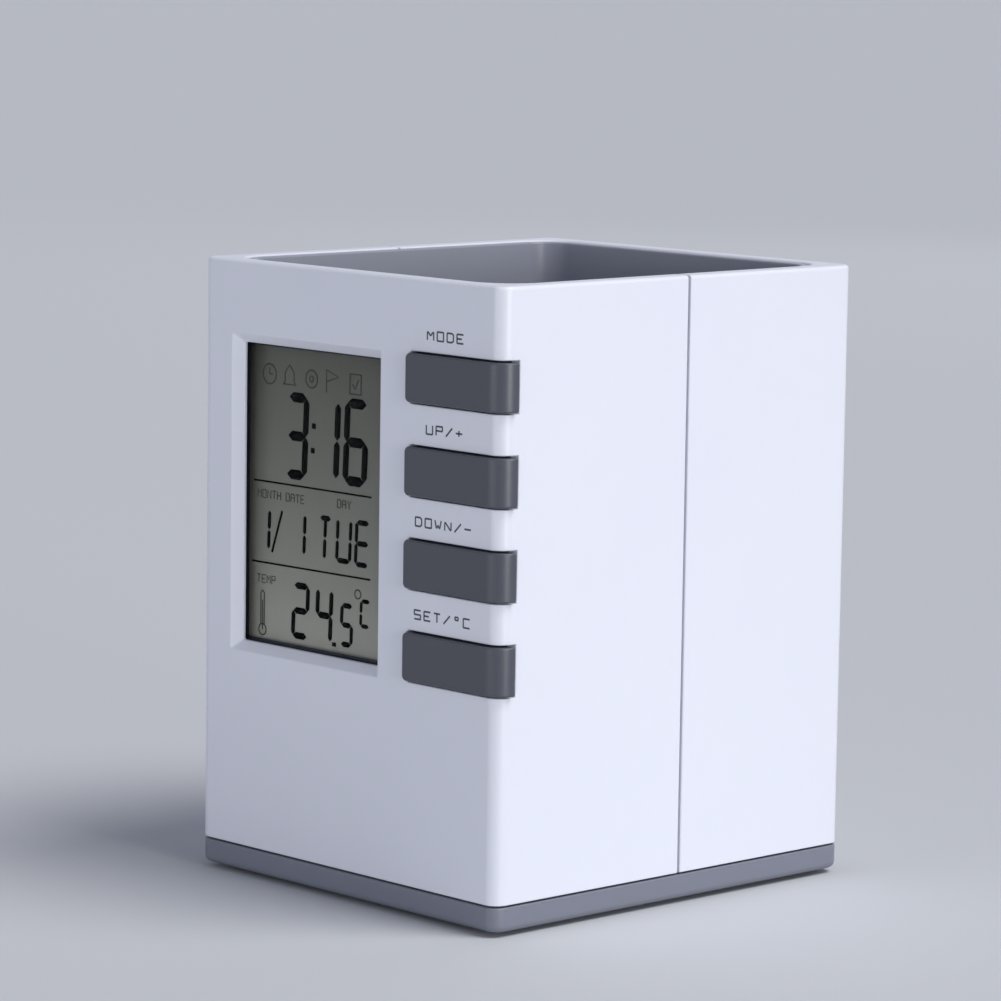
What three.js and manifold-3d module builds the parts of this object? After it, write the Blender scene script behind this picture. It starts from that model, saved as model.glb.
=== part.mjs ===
// Pen holder clock: two moulded half shells on a grey base tray, a grey cup inside them for the pens,
// a segment display behind the front wall and four keys that wrap round the front right corner.
// Millimetres, +Z up, display facing -Y, origin at the bottom centre of the whole part.

import * as THREE from 'three';
import Module from 'manifold-3d';
import { mergeVertices } from 'three/addons/utils/BufferGeometryUtils.js';

const wasm = await Module();
wasm.setup();

// Body and shells
const BODY_WIDTH = 75;
const BODY_DEPTH = 82;
const BODY_HEIGHT = 105.5;
const CORNER_RADIUS = 2.6;
const SHELL_WALL = 2;
const RIM_WIDTH = 3.4;
const RIM_THICKNESS = 2;
const RIM_ROUND = 0.6;
const SEAM_OFFSET = 1;
const SEAM_GAP = 0.5;
const TONGUE_THICKNESS = 1;
const TONGUE_REACH = 2.25;
const TONGUE_ROOT = 2.5;
const FIT_GAP = 0.3;
const SNUG_GAP = 0.1;
const OVERRUN = 1;

// Base tray and feet
const FOOT_PROUD = 0.8;
const FOOT_SINK = 0.5;
const FOOT_RADIUS = 4;
const FOOT_INSET = 7.5;
const FOOT_EDGE = 0.4;
const BASE_BAND = 4.2;
const BASE_FLOOR = 2.2;
const BASE_ROUND = 1.2;
const SPIGOT_WALL = 1.5;
const SPIGOT_RISE = 3.6;
const POST_RADIUS = 3;
const POST_SIDE_INSET = 13.8;
const POST_END_INSET = 8.5;

// Cup for the pens
const CUP_WALL = 1.4;
const CUP_INNER_RADIUS = 5;
const CUP_TOP_DROP = 0.25;
const CUP_LIFT = 14;
const CUP_LIP = 1;
const CUP_LIP_DROP = 0.3;

// Display: bevelled opening, lens and glass
const WINDOW_WIDTH = 34.6;
const WINDOW_HEIGHT = 51;
const BEVEL_SIZE = 1.6;
const BEVEL_DEPTH = 1.5;
const DISPLAY_SIDE_MARGIN = 8.1;
const DISPLAY_TOP_MARGIN = 12.35;
const LENS_MARGIN = 2.5;
const LENS_THICKNESS = 1;
const LENS_FIT = 0.2;
const GLASS_MARGIN = 1.95;
const GLASS_THICKNESS = 0.7;
const GLASS_LEDGE = 2.4;
const BACKING_THICKNESS = 0.2;
const BACKING_GAP = 0.1;
const FRAME_WALL = 1.1;
const FRAME_FIT = 0.2;
const FRAME_DEPTH = 4.4;
const STRIP_THICKNESS = 1.8;
const STRIP_INSET = 0.3;

// Main board and what is soldered to it
const BOARD_THICKNESS = 1.6;
const BOARD_TOP_STEP = 2.2;
const BOARD_BOTTOM_STEP = 1;
const BOARD_RIGHT_GAP = 0.9;
const BOARD_BOSS_RADIUS = 1.9;
const BOARD_BOSS_DROP = 7;
const BOARD_BOSS_INSET = 6.5;
const BOARD_SCREW_RADIUS = 0.8;
const BOARD_SCREW_HEAD_RADIUS = 1.7;
const BOARD_SCREW_HEAD = 1.2;
const BOARD_SCREW_LENGTH = 5;
const COMPONENT_SEAT = 0.1;
const CHIP_RADIUS = 6;
const CHIP_HEIGHT = 1.6;
const BUZZER_RADIUS = 4.75;
const BUZZER_HEIGHT = 4.5;
const BUZZER_PORT_RADIUS = 1;
const BUZZER_PORT_DEPTH = 1.5;
const CRYSTAL_RADIUS = 1;
const CRYSTAL_LENGTH = 6;
const CAPACITOR_RADIUS = 2;
const CAPACITOR_HEIGHT = 4;
const THERMISTOR_RADIUS = 0.9;

// Keys and switches
const BUTTON_HEIGHT = 8;
const BUTTON_PITCH = 15.25;
const BUTTON_PROUD = 0.9;
const BUTTON_TRAVEL = 0.5;
const BUTTON_GAP = 0.3;
const DISPLAY_TO_BUTTON = 6.8;
const BUTTON_COLUMN_RISE = 0.4;
const BUTTON_WRAP = 2.95;
const BUTTON_BACK = 0.95;
const BUTTON_FLANGE = 1;
const BUTTON_FLANGE_THICKNESS = 0.65;
const BUTTON_LEFT_ROUND = 0.9;
const SWITCH_SIZE = 6;
const SWITCH_HEIGHT = 3.5;
const PLUNGER_RADIUS = 1.75;
const PLUNGER_SINK = 1.5;
const PLUNGER_SPARE = 0.7;
const PLUNGER_FIT = 0.2;

// Battery tray, cells and contacts
const CELL_RADIUS = 5.25;
const CELL_LENGTH = 44.5;
const CELL_NUB_RADIUS = 1.9;
const CELL_NUB_LENGTH = 0.8;
const CELL_PITCH = 11.2;
const CELL_SIDE_GAP = 0.45;
const TRAY_WALL = 1.2;
const TRAY_LIFT = 10.6;
const TRAY_BACK_GAP = 0.5;
const TRAY_EDGE_STEP = 2.1;
const EAR_REACH = 5;
const EAR_WIDTH = 6;
const EAR_HOLE_INSET = 2.2;
const EAR_POST_RADIUS = 1.9;
const EAR_POST_LENGTH = 5;
const PLATE_THICKNESS = 0.3;
const PLATE_MARGIN = 1.3;
const PLATE_TAIL_REACH = 0.6;
const SPRING_WIRE = 0.7;
const SPRING_WIDE_RADIUS = 3.6;
const SPRING_NARROW_RADIUS = 2.4;
const SPRING_ROOM = 5.3;
const LEAD_DIAMETER = 1.3;
const LEAD_SPACE = 0.7;

// Battery door in the rear wall
const DOOR_MARGIN = 0.4;
const DOOR_GAP = 0.3;
const DOOR_BEAD_RADIUS = 1.6;
const DOOR_PIN_RADIUS = 0.75;
const DOOR_PIN_LENGTH = 1.6;
const DOOR_PIN_FIT = 0.2;
const DOOR_RIB = 3;
const DOOR_RIB_DEPTH = 1.8;
const DOOR_NAIL_RADIUS = 5;
const DOOR_NAIL_DEPTH = 1;

// Base screws and their bosses
const SCREW_RADIUS = 1.3;
const SCREW_HEAD_RADIUS = 2.4;
const SCREW_HEAD = 1.5;
const SCREW_LENGTH = 9.5;
const SCREW_SINK = 2;
const SCREW_FIT = 0.3;
const BOSS_RADIUS = 3.1;
const BOSS_TOP_DROP = 1;
const BOSS_INSET = 6.2;
const FRONT_BOSS_INSET = 17;
const REAR_BOSS_TO_TRAY = 3.85;
const CROSS_WIDTH = 0.6;
const CROSS_DEPTH = 0.7;

// Levels and faces worked out from the sizes
const HALF_WIDTH = BODY_WIDTH / 2;
const HALF_DEPTH = BODY_DEPTH / 2;
const FRONT = -HALF_DEPTH;
const REAR = HALF_DEPTH;
const FRONT_INNER = FRONT + SHELL_WALL;
const REAR_INNER = REAR - SHELL_WALL;
const SIDE_INNER = HALF_WIDTH - SHELL_WALL;
const BASE_TOP = FOOT_PROUD + BASE_BAND;
const SHELL_BOTTOM = BASE_TOP + FIT_GAP;
const BASE_FLOOR_TOP = FOOT_PROUD + BASE_FLOOR;
const RIM_UNDER = BODY_HEIGHT - RIM_THICKNESS;
const BOSS_TOP = CUP_LIFT - BOSS_TOP_DROP;
const BOSS_X = HALF_WIDTH - BOSS_INSET;
const FRONT_BOSS_Y = FRONT + FRONT_BOSS_INSET;

// Display places
const BEVEL_TOP = BODY_HEIGHT - DISPLAY_TOP_MARGIN;
const WINDOW_X = -HALF_WIDTH + DISPLAY_SIDE_MARGIN + BEVEL_SIZE + WINDOW_WIDTH / 2;
const WINDOW_Z = BEVEL_TOP - BEVEL_SIZE - WINDOW_HEIGHT / 2;
const LENS_FRONT = FRONT_INNER + SNUG_GAP;
const LENS_BACK = LENS_FRONT + LENS_THICKNESS;
const GLASS_WIDTH = WINDOW_WIDTH + 2 * GLASS_MARGIN;
const REAR_GLASS_HEIGHT = WINDOW_HEIGHT + 2 * GLASS_MARGIN;
const FRONT_GLASS_HEIGHT = REAR_GLASS_HEIGHT + 2 * GLASS_LEDGE;
const FRONT_GLASS_Y = LENS_BACK + SNUG_GAP;
const REAR_GLASS_Y = FRONT_GLASS_Y + GLASS_THICKNESS + BACKING_GAP;
const BACKING_Y = REAR_GLASS_Y + GLASS_THICKNESS + BACKING_GAP;
const FRAME_INNER_WIDTH = GLASS_WIDTH + 2 * FRAME_FIT;
const FRAME_INNER_HEIGHT = FRONT_GLASS_HEIGHT + 2 * FRAME_FIT;
const FRAME_WIDTH = FRAME_INNER_WIDTH + 2 * FRAME_WALL;
const FRAME_HEIGHT = FRAME_INNER_HEIGHT + 2 * FRAME_WALL;
const FRAME_FRONT = LENS_BACK + SNUG_GAP;
const FRAME_BACK = FRAME_FRONT + FRAME_DEPTH;
const FRAME_TOP = WINDOW_Z + FRAME_HEIGHT / 2;
const FRAME_BOTTOM = WINDOW_Z - FRAME_HEIGHT / 2;

// Board places
const BOARD_FRONT = FRAME_BACK + SNUG_GAP;
const BOARD_BACK = BOARD_FRONT + BOARD_THICKNESS;
const BOARD_TOP = FRAME_TOP - BOARD_TOP_STEP;
const BOARD_BOTTOM = FRAME_BOTTOM + BOARD_BOTTOM_STEP;
const BOARD_LEFT = -SIDE_INNER + FIT_GAP;
const BOARD_RIGHT = SIDE_INNER - BOARD_RIGHT_GAP;

// Key places, counted from the top
const BUTTON_LEFT = WINDOW_X + WINDOW_WIDTH / 2 + BEVEL_SIZE + DISPLAY_TO_BUTTON;
const BUTTON_COLUMN_Z = WINDOW_Z + BUTTON_COLUMN_RISE;
const BUTTON_NAMES = ['mode', 'up', 'down', 'set'];
const BUTTON_FACE = FRONT - BUTTON_PROUD;
const BUTTON_REAR = FRONT_INNER + BUTTON_BACK;
const BUTTON_SIDE_END = FRONT + BUTTON_WRAP;
const SWITCH_X = (WINDOW_X + FRAME_WIDTH / 2 + SIDE_INNER) / 2;

function buttonZ(index) {
  return BUTTON_COLUMN_Z + ((BUTTON_NAMES.length - 1) / 2 - index) * BUTTON_PITCH;
}

const BOARD_SCREWS = [
  { name: 'left_top', x: BOARD_LEFT + BOARD_BOSS_RADIUS, z: BOARD_TOP - BOARD_BOSS_DROP },
  { name: 'left_bottom', x: BOARD_LEFT + BOARD_BOSS_RADIUS, z: BOARD_BOTTOM + BOARD_BOSS_DROP },
  { name: 'right_top', x: HALF_WIDTH - BOARD_BOSS_INSET, z: (buttonZ(0) + buttonZ(1)) / 2 },
  { name: 'right_bottom', x: HALF_WIDTH - BOARD_BOSS_INSET, z: (buttonZ(2) + buttonZ(3)) / 2 },
];

// Battery places
const TRAY_SPAN = CELL_LENGTH + SPRING_ROOM + 2 * (SNUG_GAP + PLATE_THICKNESS + FIT_GAP);
const TRAY_TOP = TRAY_LIFT + CELL_PITCH + 2 * CELL_RADIUS + 2 * CELL_SIDE_GAP;
const TRAY_MOUTH = REAR - TRAY_EDGE_STEP - SHELL_WALL;
const CELL_Y = REAR_INNER - CELL_SIDE_GAP - CELL_RADIUS - TRAY_BACK_GAP;
const TRAY_FLOOR_Y = CELL_Y - CELL_RADIUS - TRAY_BACK_GAP;
const TRAY_BACK_Y = TRAY_FLOOR_Y - TRAY_WALL;
const LOWER_CELL_Z = TRAY_LIFT + CELL_SIDE_GAP + CELL_RADIUS;
const UPPER_CELL_Z = LOWER_CELL_Z + CELL_PITCH;
const PLATE_X = TRAY_SPAN / 2 - SNUG_GAP;
const EAR_X = TRAY_SPAN / 4;
const EAR_TOP = TRAY_TOP + TRAY_WALL + EAR_REACH;
const EAR_SCREW_Z = EAR_TOP - EAR_HOLE_INSET;
const REAR_BOSS_Y = TRAY_BACK_Y - REAR_BOSS_TO_TRAY;
const EAR_BACK_Y = REAR_INNER - EAR_POST_LENGTH;

// Door places
const DOOR_OPENING_HALF = TRAY_SPAN / 2;
const DOOR_OPENING_BOTTOM = TRAY_LIFT - DOOR_MARGIN;
const DOOR_OPENING_TOP = TRAY_TOP + DOOR_MARGIN;
const DOOR_HALF = DOOR_OPENING_HALF - DOOR_GAP;
const DOOR_BOTTOM = DOOR_OPENING_BOTTOM + DOOR_GAP;
const DOOR_TOP = DOOR_OPENING_TOP - DOOR_GAP;
const DOOR_AXIS_Y = REAR - DOOR_BEAD_RADIUS;
const DOOR_AXIS_Z = DOOR_BOTTOM + DOOR_BEAD_RADIUS;

// Cup places
const CUP_INSET = RIM_WIDTH + FIT_GAP;
const CUP_FRONT = FRONT + CUP_INSET;
const CUP_REAR = REAR - CUP_INSET;
const CUP_HALF_WIDTH = HALF_WIDTH - CUP_INSET;
const CUP_OUTER_RADIUS = CUP_INNER_RADIUS + CUP_WALL;
const CUP_TOP = BODY_HEIGHT - CUP_TOP_DROP;
const CUP_LOW_FRONT = BOARD_BACK + COMPONENT_SEAT + BUZZER_HEIGHT + 2 * OVERRUN - FIT_GAP;
const CUP_LOW_REAR = TRAY_BACK_Y - FIT_GAP;
const CUP_SLOPE_TOP = FRAME_TOP + FRAME_BACK - CUP_FRONT + 2 * FIT_GAP;
const CUP_SLOPE_BOTTOM = CUP_SLOPE_TOP - (CUP_LOW_FRONT - CUP_FRONT);
const CUP_LEDGE_BOTTOM = TRAY_TOP + TRAY_WALL + CUP_WALL;
const CUP_LEDGE_TOP = CUP_LEDGE_BOTTOM + (CUP_REAR - CUP_LOW_REAR);
const LIP_TOP = RIM_UNDER - CUP_LIP_DROP;
const POST_X = CUP_HALF_WIDTH - POST_SIDE_INSET;
const POST_PLACES = [CUP_LOW_FRONT + POST_END_INSET, CUP_LOW_REAR - POST_END_INSET];

// Counts and shares
const ARC_STEPS = 5;
const ROUND_STEPS = 3;
const SMALL_SIDES = 12;
const LARGE_SIDES = 20;
const SPRING_TURNS = 4;
const SPRING_STEPS = 8;
const SPRING_SIDES = 5;
const LEAD_STEPS = 34;
const LEAD_SIDES = 8;
const DOME_STEPS = 4;
const CROSS_DRAFT_SHARE = 0.75;
const HALF_ANGLE_SLOPE = Math.tan(Math.PI / 8);

// Finishes
const finishes = {
  whiteShell: { color: 0xe9ebf1, roughness: 0.42, metalness: 0 },
  greyShell: { color: 0x5a5e6b, roughness: 0.45, metalness: 0 },
  lens: { color: 0xf4f8fa, roughness: 0.05, metalness: 0, transparent: true, opacity: 0.3 },
  glass: { color: 0x8f968c, roughness: 0.1, metalness: 0 },
  backing: { color: 0xa9aea3, roughness: 0.5, metalness: 0.2 },
  innerPlastic: { color: 0xd7d8d4, roughness: 0.55, metalness: 0 },
  strip: { color: 0xb86a7c, roughness: 0.7, metalness: 0 },
  board: { color: 0x1f6b3c, roughness: 0.5, metalness: 0 },
  epoxy: { color: 0x17181a, roughness: 0.3, metalness: 0 },
  steel: { color: 0xb9bcc0, roughness: 0.35, metalness: 1 },
  nickel: { color: 0xc9c6bd, roughness: 0.3, metalness: 1 },
  switchBody: { color: 0x242528, roughness: 0.5, metalness: 0 },
  cellJacket: { color: 0x2f4f7d, roughness: 0.3, metalness: 0.2 },
  rubber: { color: 0x26272a, roughness: 0.85, metalness: 0 },
  redWire: { color: 0xb3262b, roughness: 0.5, metalness: 0 },
  blackWire: { color: 0x1c1c1f, roughness: 0.5, metalness: 0 },
};

const assembly = new THREE.Group();
assembly.position.set(-BUTTON_PROUD / 2, BUTTON_PROUD / 2, 0);

// Solids from closed geometries, and back

function toSolid(geometry) {
  const bare = geometry.clone();
  bare.deleteAttribute('normal');
  bare.deleteAttribute('uv');
  const merged = mergeVertices(bare);
  const mesh = new wasm.Mesh({
    numProp: 3,
    vertProperties: new Float32Array(merged.attributes.position.array),
    triVerts: new Uint32Array(merged.index.array),
  });
  return new wasm.Manifold(mesh);
}

function toGeometry(solid) {
  const mesh = solid.getMesh();
  const geometry = new THREE.BufferGeometry();
  geometry.setAttribute('position', new THREE.BufferAttribute(mesh.vertProperties, 3));
  geometry.setIndex(new THREE.BufferAttribute(mesh.triVerts, 1));
  geometry.computeVertexNormals();
  return geometry;
}

function joined(solids) {
  return solids.reduce((whole, piece) => whole.add(piece));
}

function cutBy(solid, cutters) {
  return cutters.reduce((rest, cutter) => rest.subtract(cutter), solid);
}

function addPiece(name, shape, finish) {
  const geometry = shape.isBufferGeometry ? shape : toGeometry(shape);
  const mesh = new THREE.Mesh(geometry, new THREE.MeshStandardMaterial(finishes[finish]));
  mesh.name = name;
  assembly.add(mesh);
  return mesh;
}

// Outlines and basic solids

function roundedRectangle(width, height, radius, centreX = 0, centreY = 0) {
  const shape = new THREE.Shape();
  const right = centreX + width / 2;
  const top = centreY + height / 2;
  const left = centreX - width / 2;
  const bottom = centreY - height / 2;
  shape.moveTo(right, bottom + radius);
  shape.absarc(right - radius, top - radius, radius, 0, Math.PI / 2, false);
  shape.absarc(left + radius, top - radius, radius, Math.PI / 2, Math.PI, false);
  shape.absarc(left + radius, bottom + radius, radius, Math.PI, Math.PI * 1.5, false);
  shape.absarc(right - radius, bottom + radius, radius, Math.PI * 1.5, Math.PI * 2, false);
  return shape;
}

function outline(points) {
  const shape = new THREE.Shape();
  points.forEach(([a, b], index) => (index === 0 ? shape.moveTo(a, b) : shape.lineTo(a, b)));
  shape.closePath();
  return shape;
}

function extruded(shape, length, steps = ARC_STEPS) {
  return new THREE.ExtrudeGeometry(shape, { depth: length, bevelEnabled: false, curveSegments: steps });
}

// An outline in X and Y, raised from one level to another
function upright(shape, low, high, steps = ARC_STEPS) {
  return toSolid(extruded(shape, high - low, steps).translate(0, 0, low));
}

// An outline in X and Z, carried from a front plane to a rear plane
function frontward(shape, near, far, steps = ARC_STEPS) {
  return toSolid(extruded(shape, far - near, steps).rotateX(Math.PI / 2).translate(0, far, 0));
}

// An outline in Y and Z, carried from left to right
function sideways(shape, left, right, steps = ARC_STEPS) {
  const turn = new THREE.Matrix4().set(0, 0, 1, left, 1, 0, 0, 0, 0, 1, 0, 0, 0, 0, 0, 1);
  return toSolid(extruded(shape, right - left, steps).applyMatrix4(turn));
}

function block(left, right, near, far, low, high) {
  const geometry = new THREE.BoxGeometry(right - left, far - near, high - low);
  return toSolid(geometry.translate((left + right) / 2, (near + far) / 2, (low + high) / 2));
}

function rodGeometry(radius, length, sides) {
  return new THREE.CylinderGeometry(radius, radius, length, sides);
}

function uprightRod(radius, x, y, low, high, sides = SMALL_SIDES) {
  const geometry = rodGeometry(radius, high - low, sides).rotateX(Math.PI / 2);
  return toSolid(geometry.translate(x, y, (low + high) / 2));
}

function frontRod(radius, x, z, near, far, sides = SMALL_SIDES) {
  return toSolid(rodGeometry(radius, far - near, sides).translate(x, (near + far) / 2, z));
}

function sideRod(radius, y, z, left, right, sides = SMALL_SIDES) {
  const geometry = rodGeometry(radius, right - left, sides).rotateZ(Math.PI / 2);
  return toSolid(geometry.translate((left + right) / 2, y, z));
}

// Both half shells start as one box with a rim, rounded along its top outer edge

function shellBox() {
  const plan = roundedRectangle(BODY_WIDTH, BODY_DEPTH, CORNER_RADIUS);
  const tall = new THREE.ExtrudeGeometry(plan, {
    depth: BODY_HEIGHT - SHELL_BOTTOM,
    bevelEnabled: true,
    bevelThickness: RIM_ROUND,
    bevelSize: RIM_ROUND,
    bevelOffset: -RIM_ROUND,
    bevelSegments: ROUND_STEPS,
    curveSegments: ARC_STEPS,
  }).translate(0, 0, SHELL_BOTTOM - RIM_ROUND);
  const trimmed = toSolid(tall).subtract(
    block(-BODY_WIDTH, BODY_WIDTH, -BODY_DEPTH, BODY_DEPTH, -OVERRUN, SHELL_BOTTOM),
  );
  const room = upright(
    roundedRectangle(2 * SIDE_INNER, 2 * REAR_INNER, CORNER_RADIUS - SHELL_WALL),
    -OVERRUN, RIM_UNDER,
  );
  const mouth = upright(
    roundedRectangle(
      BODY_WIDTH - 2 * RIM_WIDTH, BODY_DEPTH - 2 * RIM_WIDTH, CUP_OUTER_RADIUS + FIT_GAP,
    ),
    RIM_UNDER - OVERRUN, BODY_HEIGHT + OVERRUN,
  );
  return cutBy(trimmed, [room, mouth]);
}

// A screw boss standing inside a side wall, with a web to the wall and a pilot hole from below
function baseBoss(side, y) {
  const x = side * BOSS_X;
  const webEnd = side * (SIDE_INNER + SHELL_WALL / 2);
  const web = block(
    Math.min(x, webEnd), Math.max(x, webEnd), y - SHELL_WALL / 2, y + SHELL_WALL / 2,
    SHELL_BOTTOM, BOSS_TOP,
  );
  const pilot = uprightRod(
    SCREW_RADIUS + SCREW_FIT, x, y, SHELL_BOTTOM - OVERRUN, BOSS_TOP - SHELL_WALL / 2,
  );
  return { body: uprightRod(BOSS_RADIUS, x, y, SHELL_BOTTOM, BOSS_TOP).add(web), pilot };
}

function buttonSlot(index) {
  const z = buttonZ(index);
  const low = z - BUTTON_HEIGHT / 2 - BUTTON_GAP;
  const high = z + BUTTON_HEIGHT / 2 + BUTTON_GAP;
  const outside = BODY_WIDTH;
  const frontPart = frontward(
    roundedRectangle(
      outside - BUTTON_LEFT + BUTTON_GAP, high - low, BUTTON_LEFT_ROUND + BUTTON_GAP,
      (outside + BUTTON_LEFT - BUTTON_GAP) / 2, z,
    ),
    FRONT - OVERRUN, FRONT_INNER + CORNER_RADIUS / 2, ROUND_STEPS,
  );
  const sideEnd = BUTTON_SIDE_END + BUTTON_TRAVEL + BUTTON_GAP;
  const sidePart = block(
    SIDE_INNER - CORNER_RADIUS / 2, outside, FRONT - OVERRUN, sideEnd, low, high,
  );
  return frontPart.add(sidePart);
}

function makeFrontShell() {
  const half = shellBox().subtract(block(
    -BODY_WIDTH, BODY_WIDTH, SEAM_OFFSET - SEAM_GAP / 2, BODY_DEPTH, -OVERRUN, BODY_HEIGHT + OVERRUN,
  ));
  const bevelCutter = new THREE.ExtrudeGeometry(
    roundedRectangle(WINDOW_WIDTH, WINDOW_HEIGHT, BEVEL_SIZE / 4, WINDOW_X, WINDOW_Z),
    {
      depth: OVERRUN,
      bevelEnabled: true,
      bevelThickness: BEVEL_DEPTH,
      bevelSize: BEVEL_SIZE,
      bevelSegments: 1,
      curveSegments: ROUND_STEPS,
    },
  ).rotateX(Math.PI / 2).translate(0, FRONT, 0);
  const opening = frontward(
    roundedRectangle(WINDOW_WIDTH, WINDOW_HEIGHT, BEVEL_SIZE / 4, WINDOW_X, WINDOW_Z),
    FRONT - OVERRUN, FRONT_INNER + OVERRUN, ROUND_STEPS,
  );
  const bosses = [-1, 1].map((side) => baseBoss(side, FRONT_BOSS_Y));
  const boardBosses = BOARD_SCREWS.map(({ x, z }) => (
    frontRod(BOARD_BOSS_RADIUS, x, z, FRONT_INNER - SHELL_WALL / 2, BOARD_FRONT - FIT_GAP)
  ));
  const boardPilots = BOARD_SCREWS.map(({ x, z }) => (
    frontRod(BOARD_SCREW_RADIUS + DOOR_PIN_FIT, x, z, FRONT_INNER, BOARD_FRONT)
  ));
  const whole = joined([half, ...bosses.map((boss) => boss.body), ...boardBosses]);
  const cutters = [
    toSolid(bevelCutter),
    opening,
    ...BUTTON_NAMES.map((name, index) => buttonSlot(index)),
    ...bosses.map((boss) => boss.pilot),
    ...boardPilots,
  ];
  addPiece('front_shell', cutBy(whole, cutters), 'whiteShell');
}

// The rear shell carries a tongue that closes each seam from inside, and the battery opening

function tongue(side) {
  const outer = SIDE_INNER - FIT_GAP;
  const inner = outer - TONGUE_THICKNESS;
  const low = BASE_TOP + SPIGOT_RISE + FIT_GAP;
  const high = LIP_TOP - CUP_LIP - FIT_GAP;
  const seam = SEAM_OFFSET + SEAM_GAP / 2;
  const [near, far] = side > 0 ? [inner, outer] : [-outer, -inner];
  const [rootNear, rootFar] = side > 0 ? [inner, SIDE_INNER + OVERRUN] : [-SIDE_INNER - OVERRUN, -inner];
  return block(near, far, seam - TONGUE_REACH, seam + TONGUE_ROOT, low, high)
    .add(block(rootNear, rootFar, seam, seam + TONGUE_ROOT, low, high));
}

function makeRearShell() {
  const half = shellBox().subtract(block(
    -BODY_WIDTH, BODY_WIDTH, -BODY_DEPTH, SEAM_OFFSET + SEAM_GAP / 2, -OVERRUN, BODY_HEIGHT + OVERRUN,
  ));
  const bosses = [-1, 1].map((side) => baseBoss(side, REAR_BOSS_Y));
  const ribOuter = DOOR_OPENING_HALF + DOOR_RIB;
  const ribLow = DOOR_OPENING_BOTTOM - TRAY_WALL;
  const ribHigh = DOOR_OPENING_TOP + TRAY_WALL;
  const rib = block(
    -ribOuter, ribOuter, REAR_INNER - DOOR_RIB_DEPTH, REAR_INNER + SHELL_WALL / 2, ribLow, ribHigh,
  );
  const earPosts = [-1, 1].map((side) => frontRod(
    EAR_POST_RADIUS, side * EAR_X, EAR_SCREW_Z, EAR_BACK_Y + FIT_GAP, REAR_INNER + SHELL_WALL / 2,
  ));
  const earPilots = [-1, 1].map((side) => frontRod(
    BOARD_SCREW_RADIUS + DOOR_PIN_FIT, side * EAR_X, EAR_SCREW_Z, EAR_BACK_Y, REAR_INNER,
  ));
  const doorway = block(
    -DOOR_OPENING_HALF, DOOR_OPENING_HALF, REAR_INNER - 2 * DOOR_RIB_DEPTH, REAR + OVERRUN,
    DOOR_OPENING_BOTTOM, DOOR_OPENING_TOP,
  );
  const pinReach = DOOR_HALF + DOOR_PIN_LENGTH + DOOR_GAP;
  const pinHoles = sideRod(
    DOOR_PIN_RADIUS + DOOR_PIN_FIT, DOOR_AXIS_Y, DOOR_AXIS_Z, -pinReach, pinReach,
  );
  const whole = joined([half, rib, tongue(-1), tongue(1), ...bosses.map((boss) => boss.body), ...earPosts]);
  const cutters = [doorway, pinHoles, ...bosses.map((boss) => boss.pilot), ...earPilots];
  addPiece('rear_shell', cutBy(whole, cutters), 'whiteShell');
}

function makeDoor() {
  const plate = block(-DOOR_HALF, DOOR_HALF, REAR_INNER, REAR, DOOR_AXIS_Z, DOOR_TOP);
  const bead = sideRod(DOOR_BEAD_RADIUS, DOOR_AXIS_Y, DOOR_AXIS_Z, -DOOR_HALF, DOOR_HALF, LARGE_SIDES);
  const pins = sideRod(
    DOOR_PIN_RADIUS, DOOR_AXIS_Y, DOOR_AXIS_Z, -DOOR_HALF - DOOR_PIN_LENGTH, DOOR_HALF + DOOR_PIN_LENGTH,
  );
  const nail = frontRod(DOOR_NAIL_RADIUS, 0, DOOR_TOP, REAR - DOOR_NAIL_DEPTH, REAR + OVERRUN, LARGE_SIDES);
  addPiece('battery_door', joined([plate, bead, pins]).subtract(nail), 'whiteShell');
}

// Base tray with its band, spigot, screw pads and the posts that carry the cup

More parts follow.
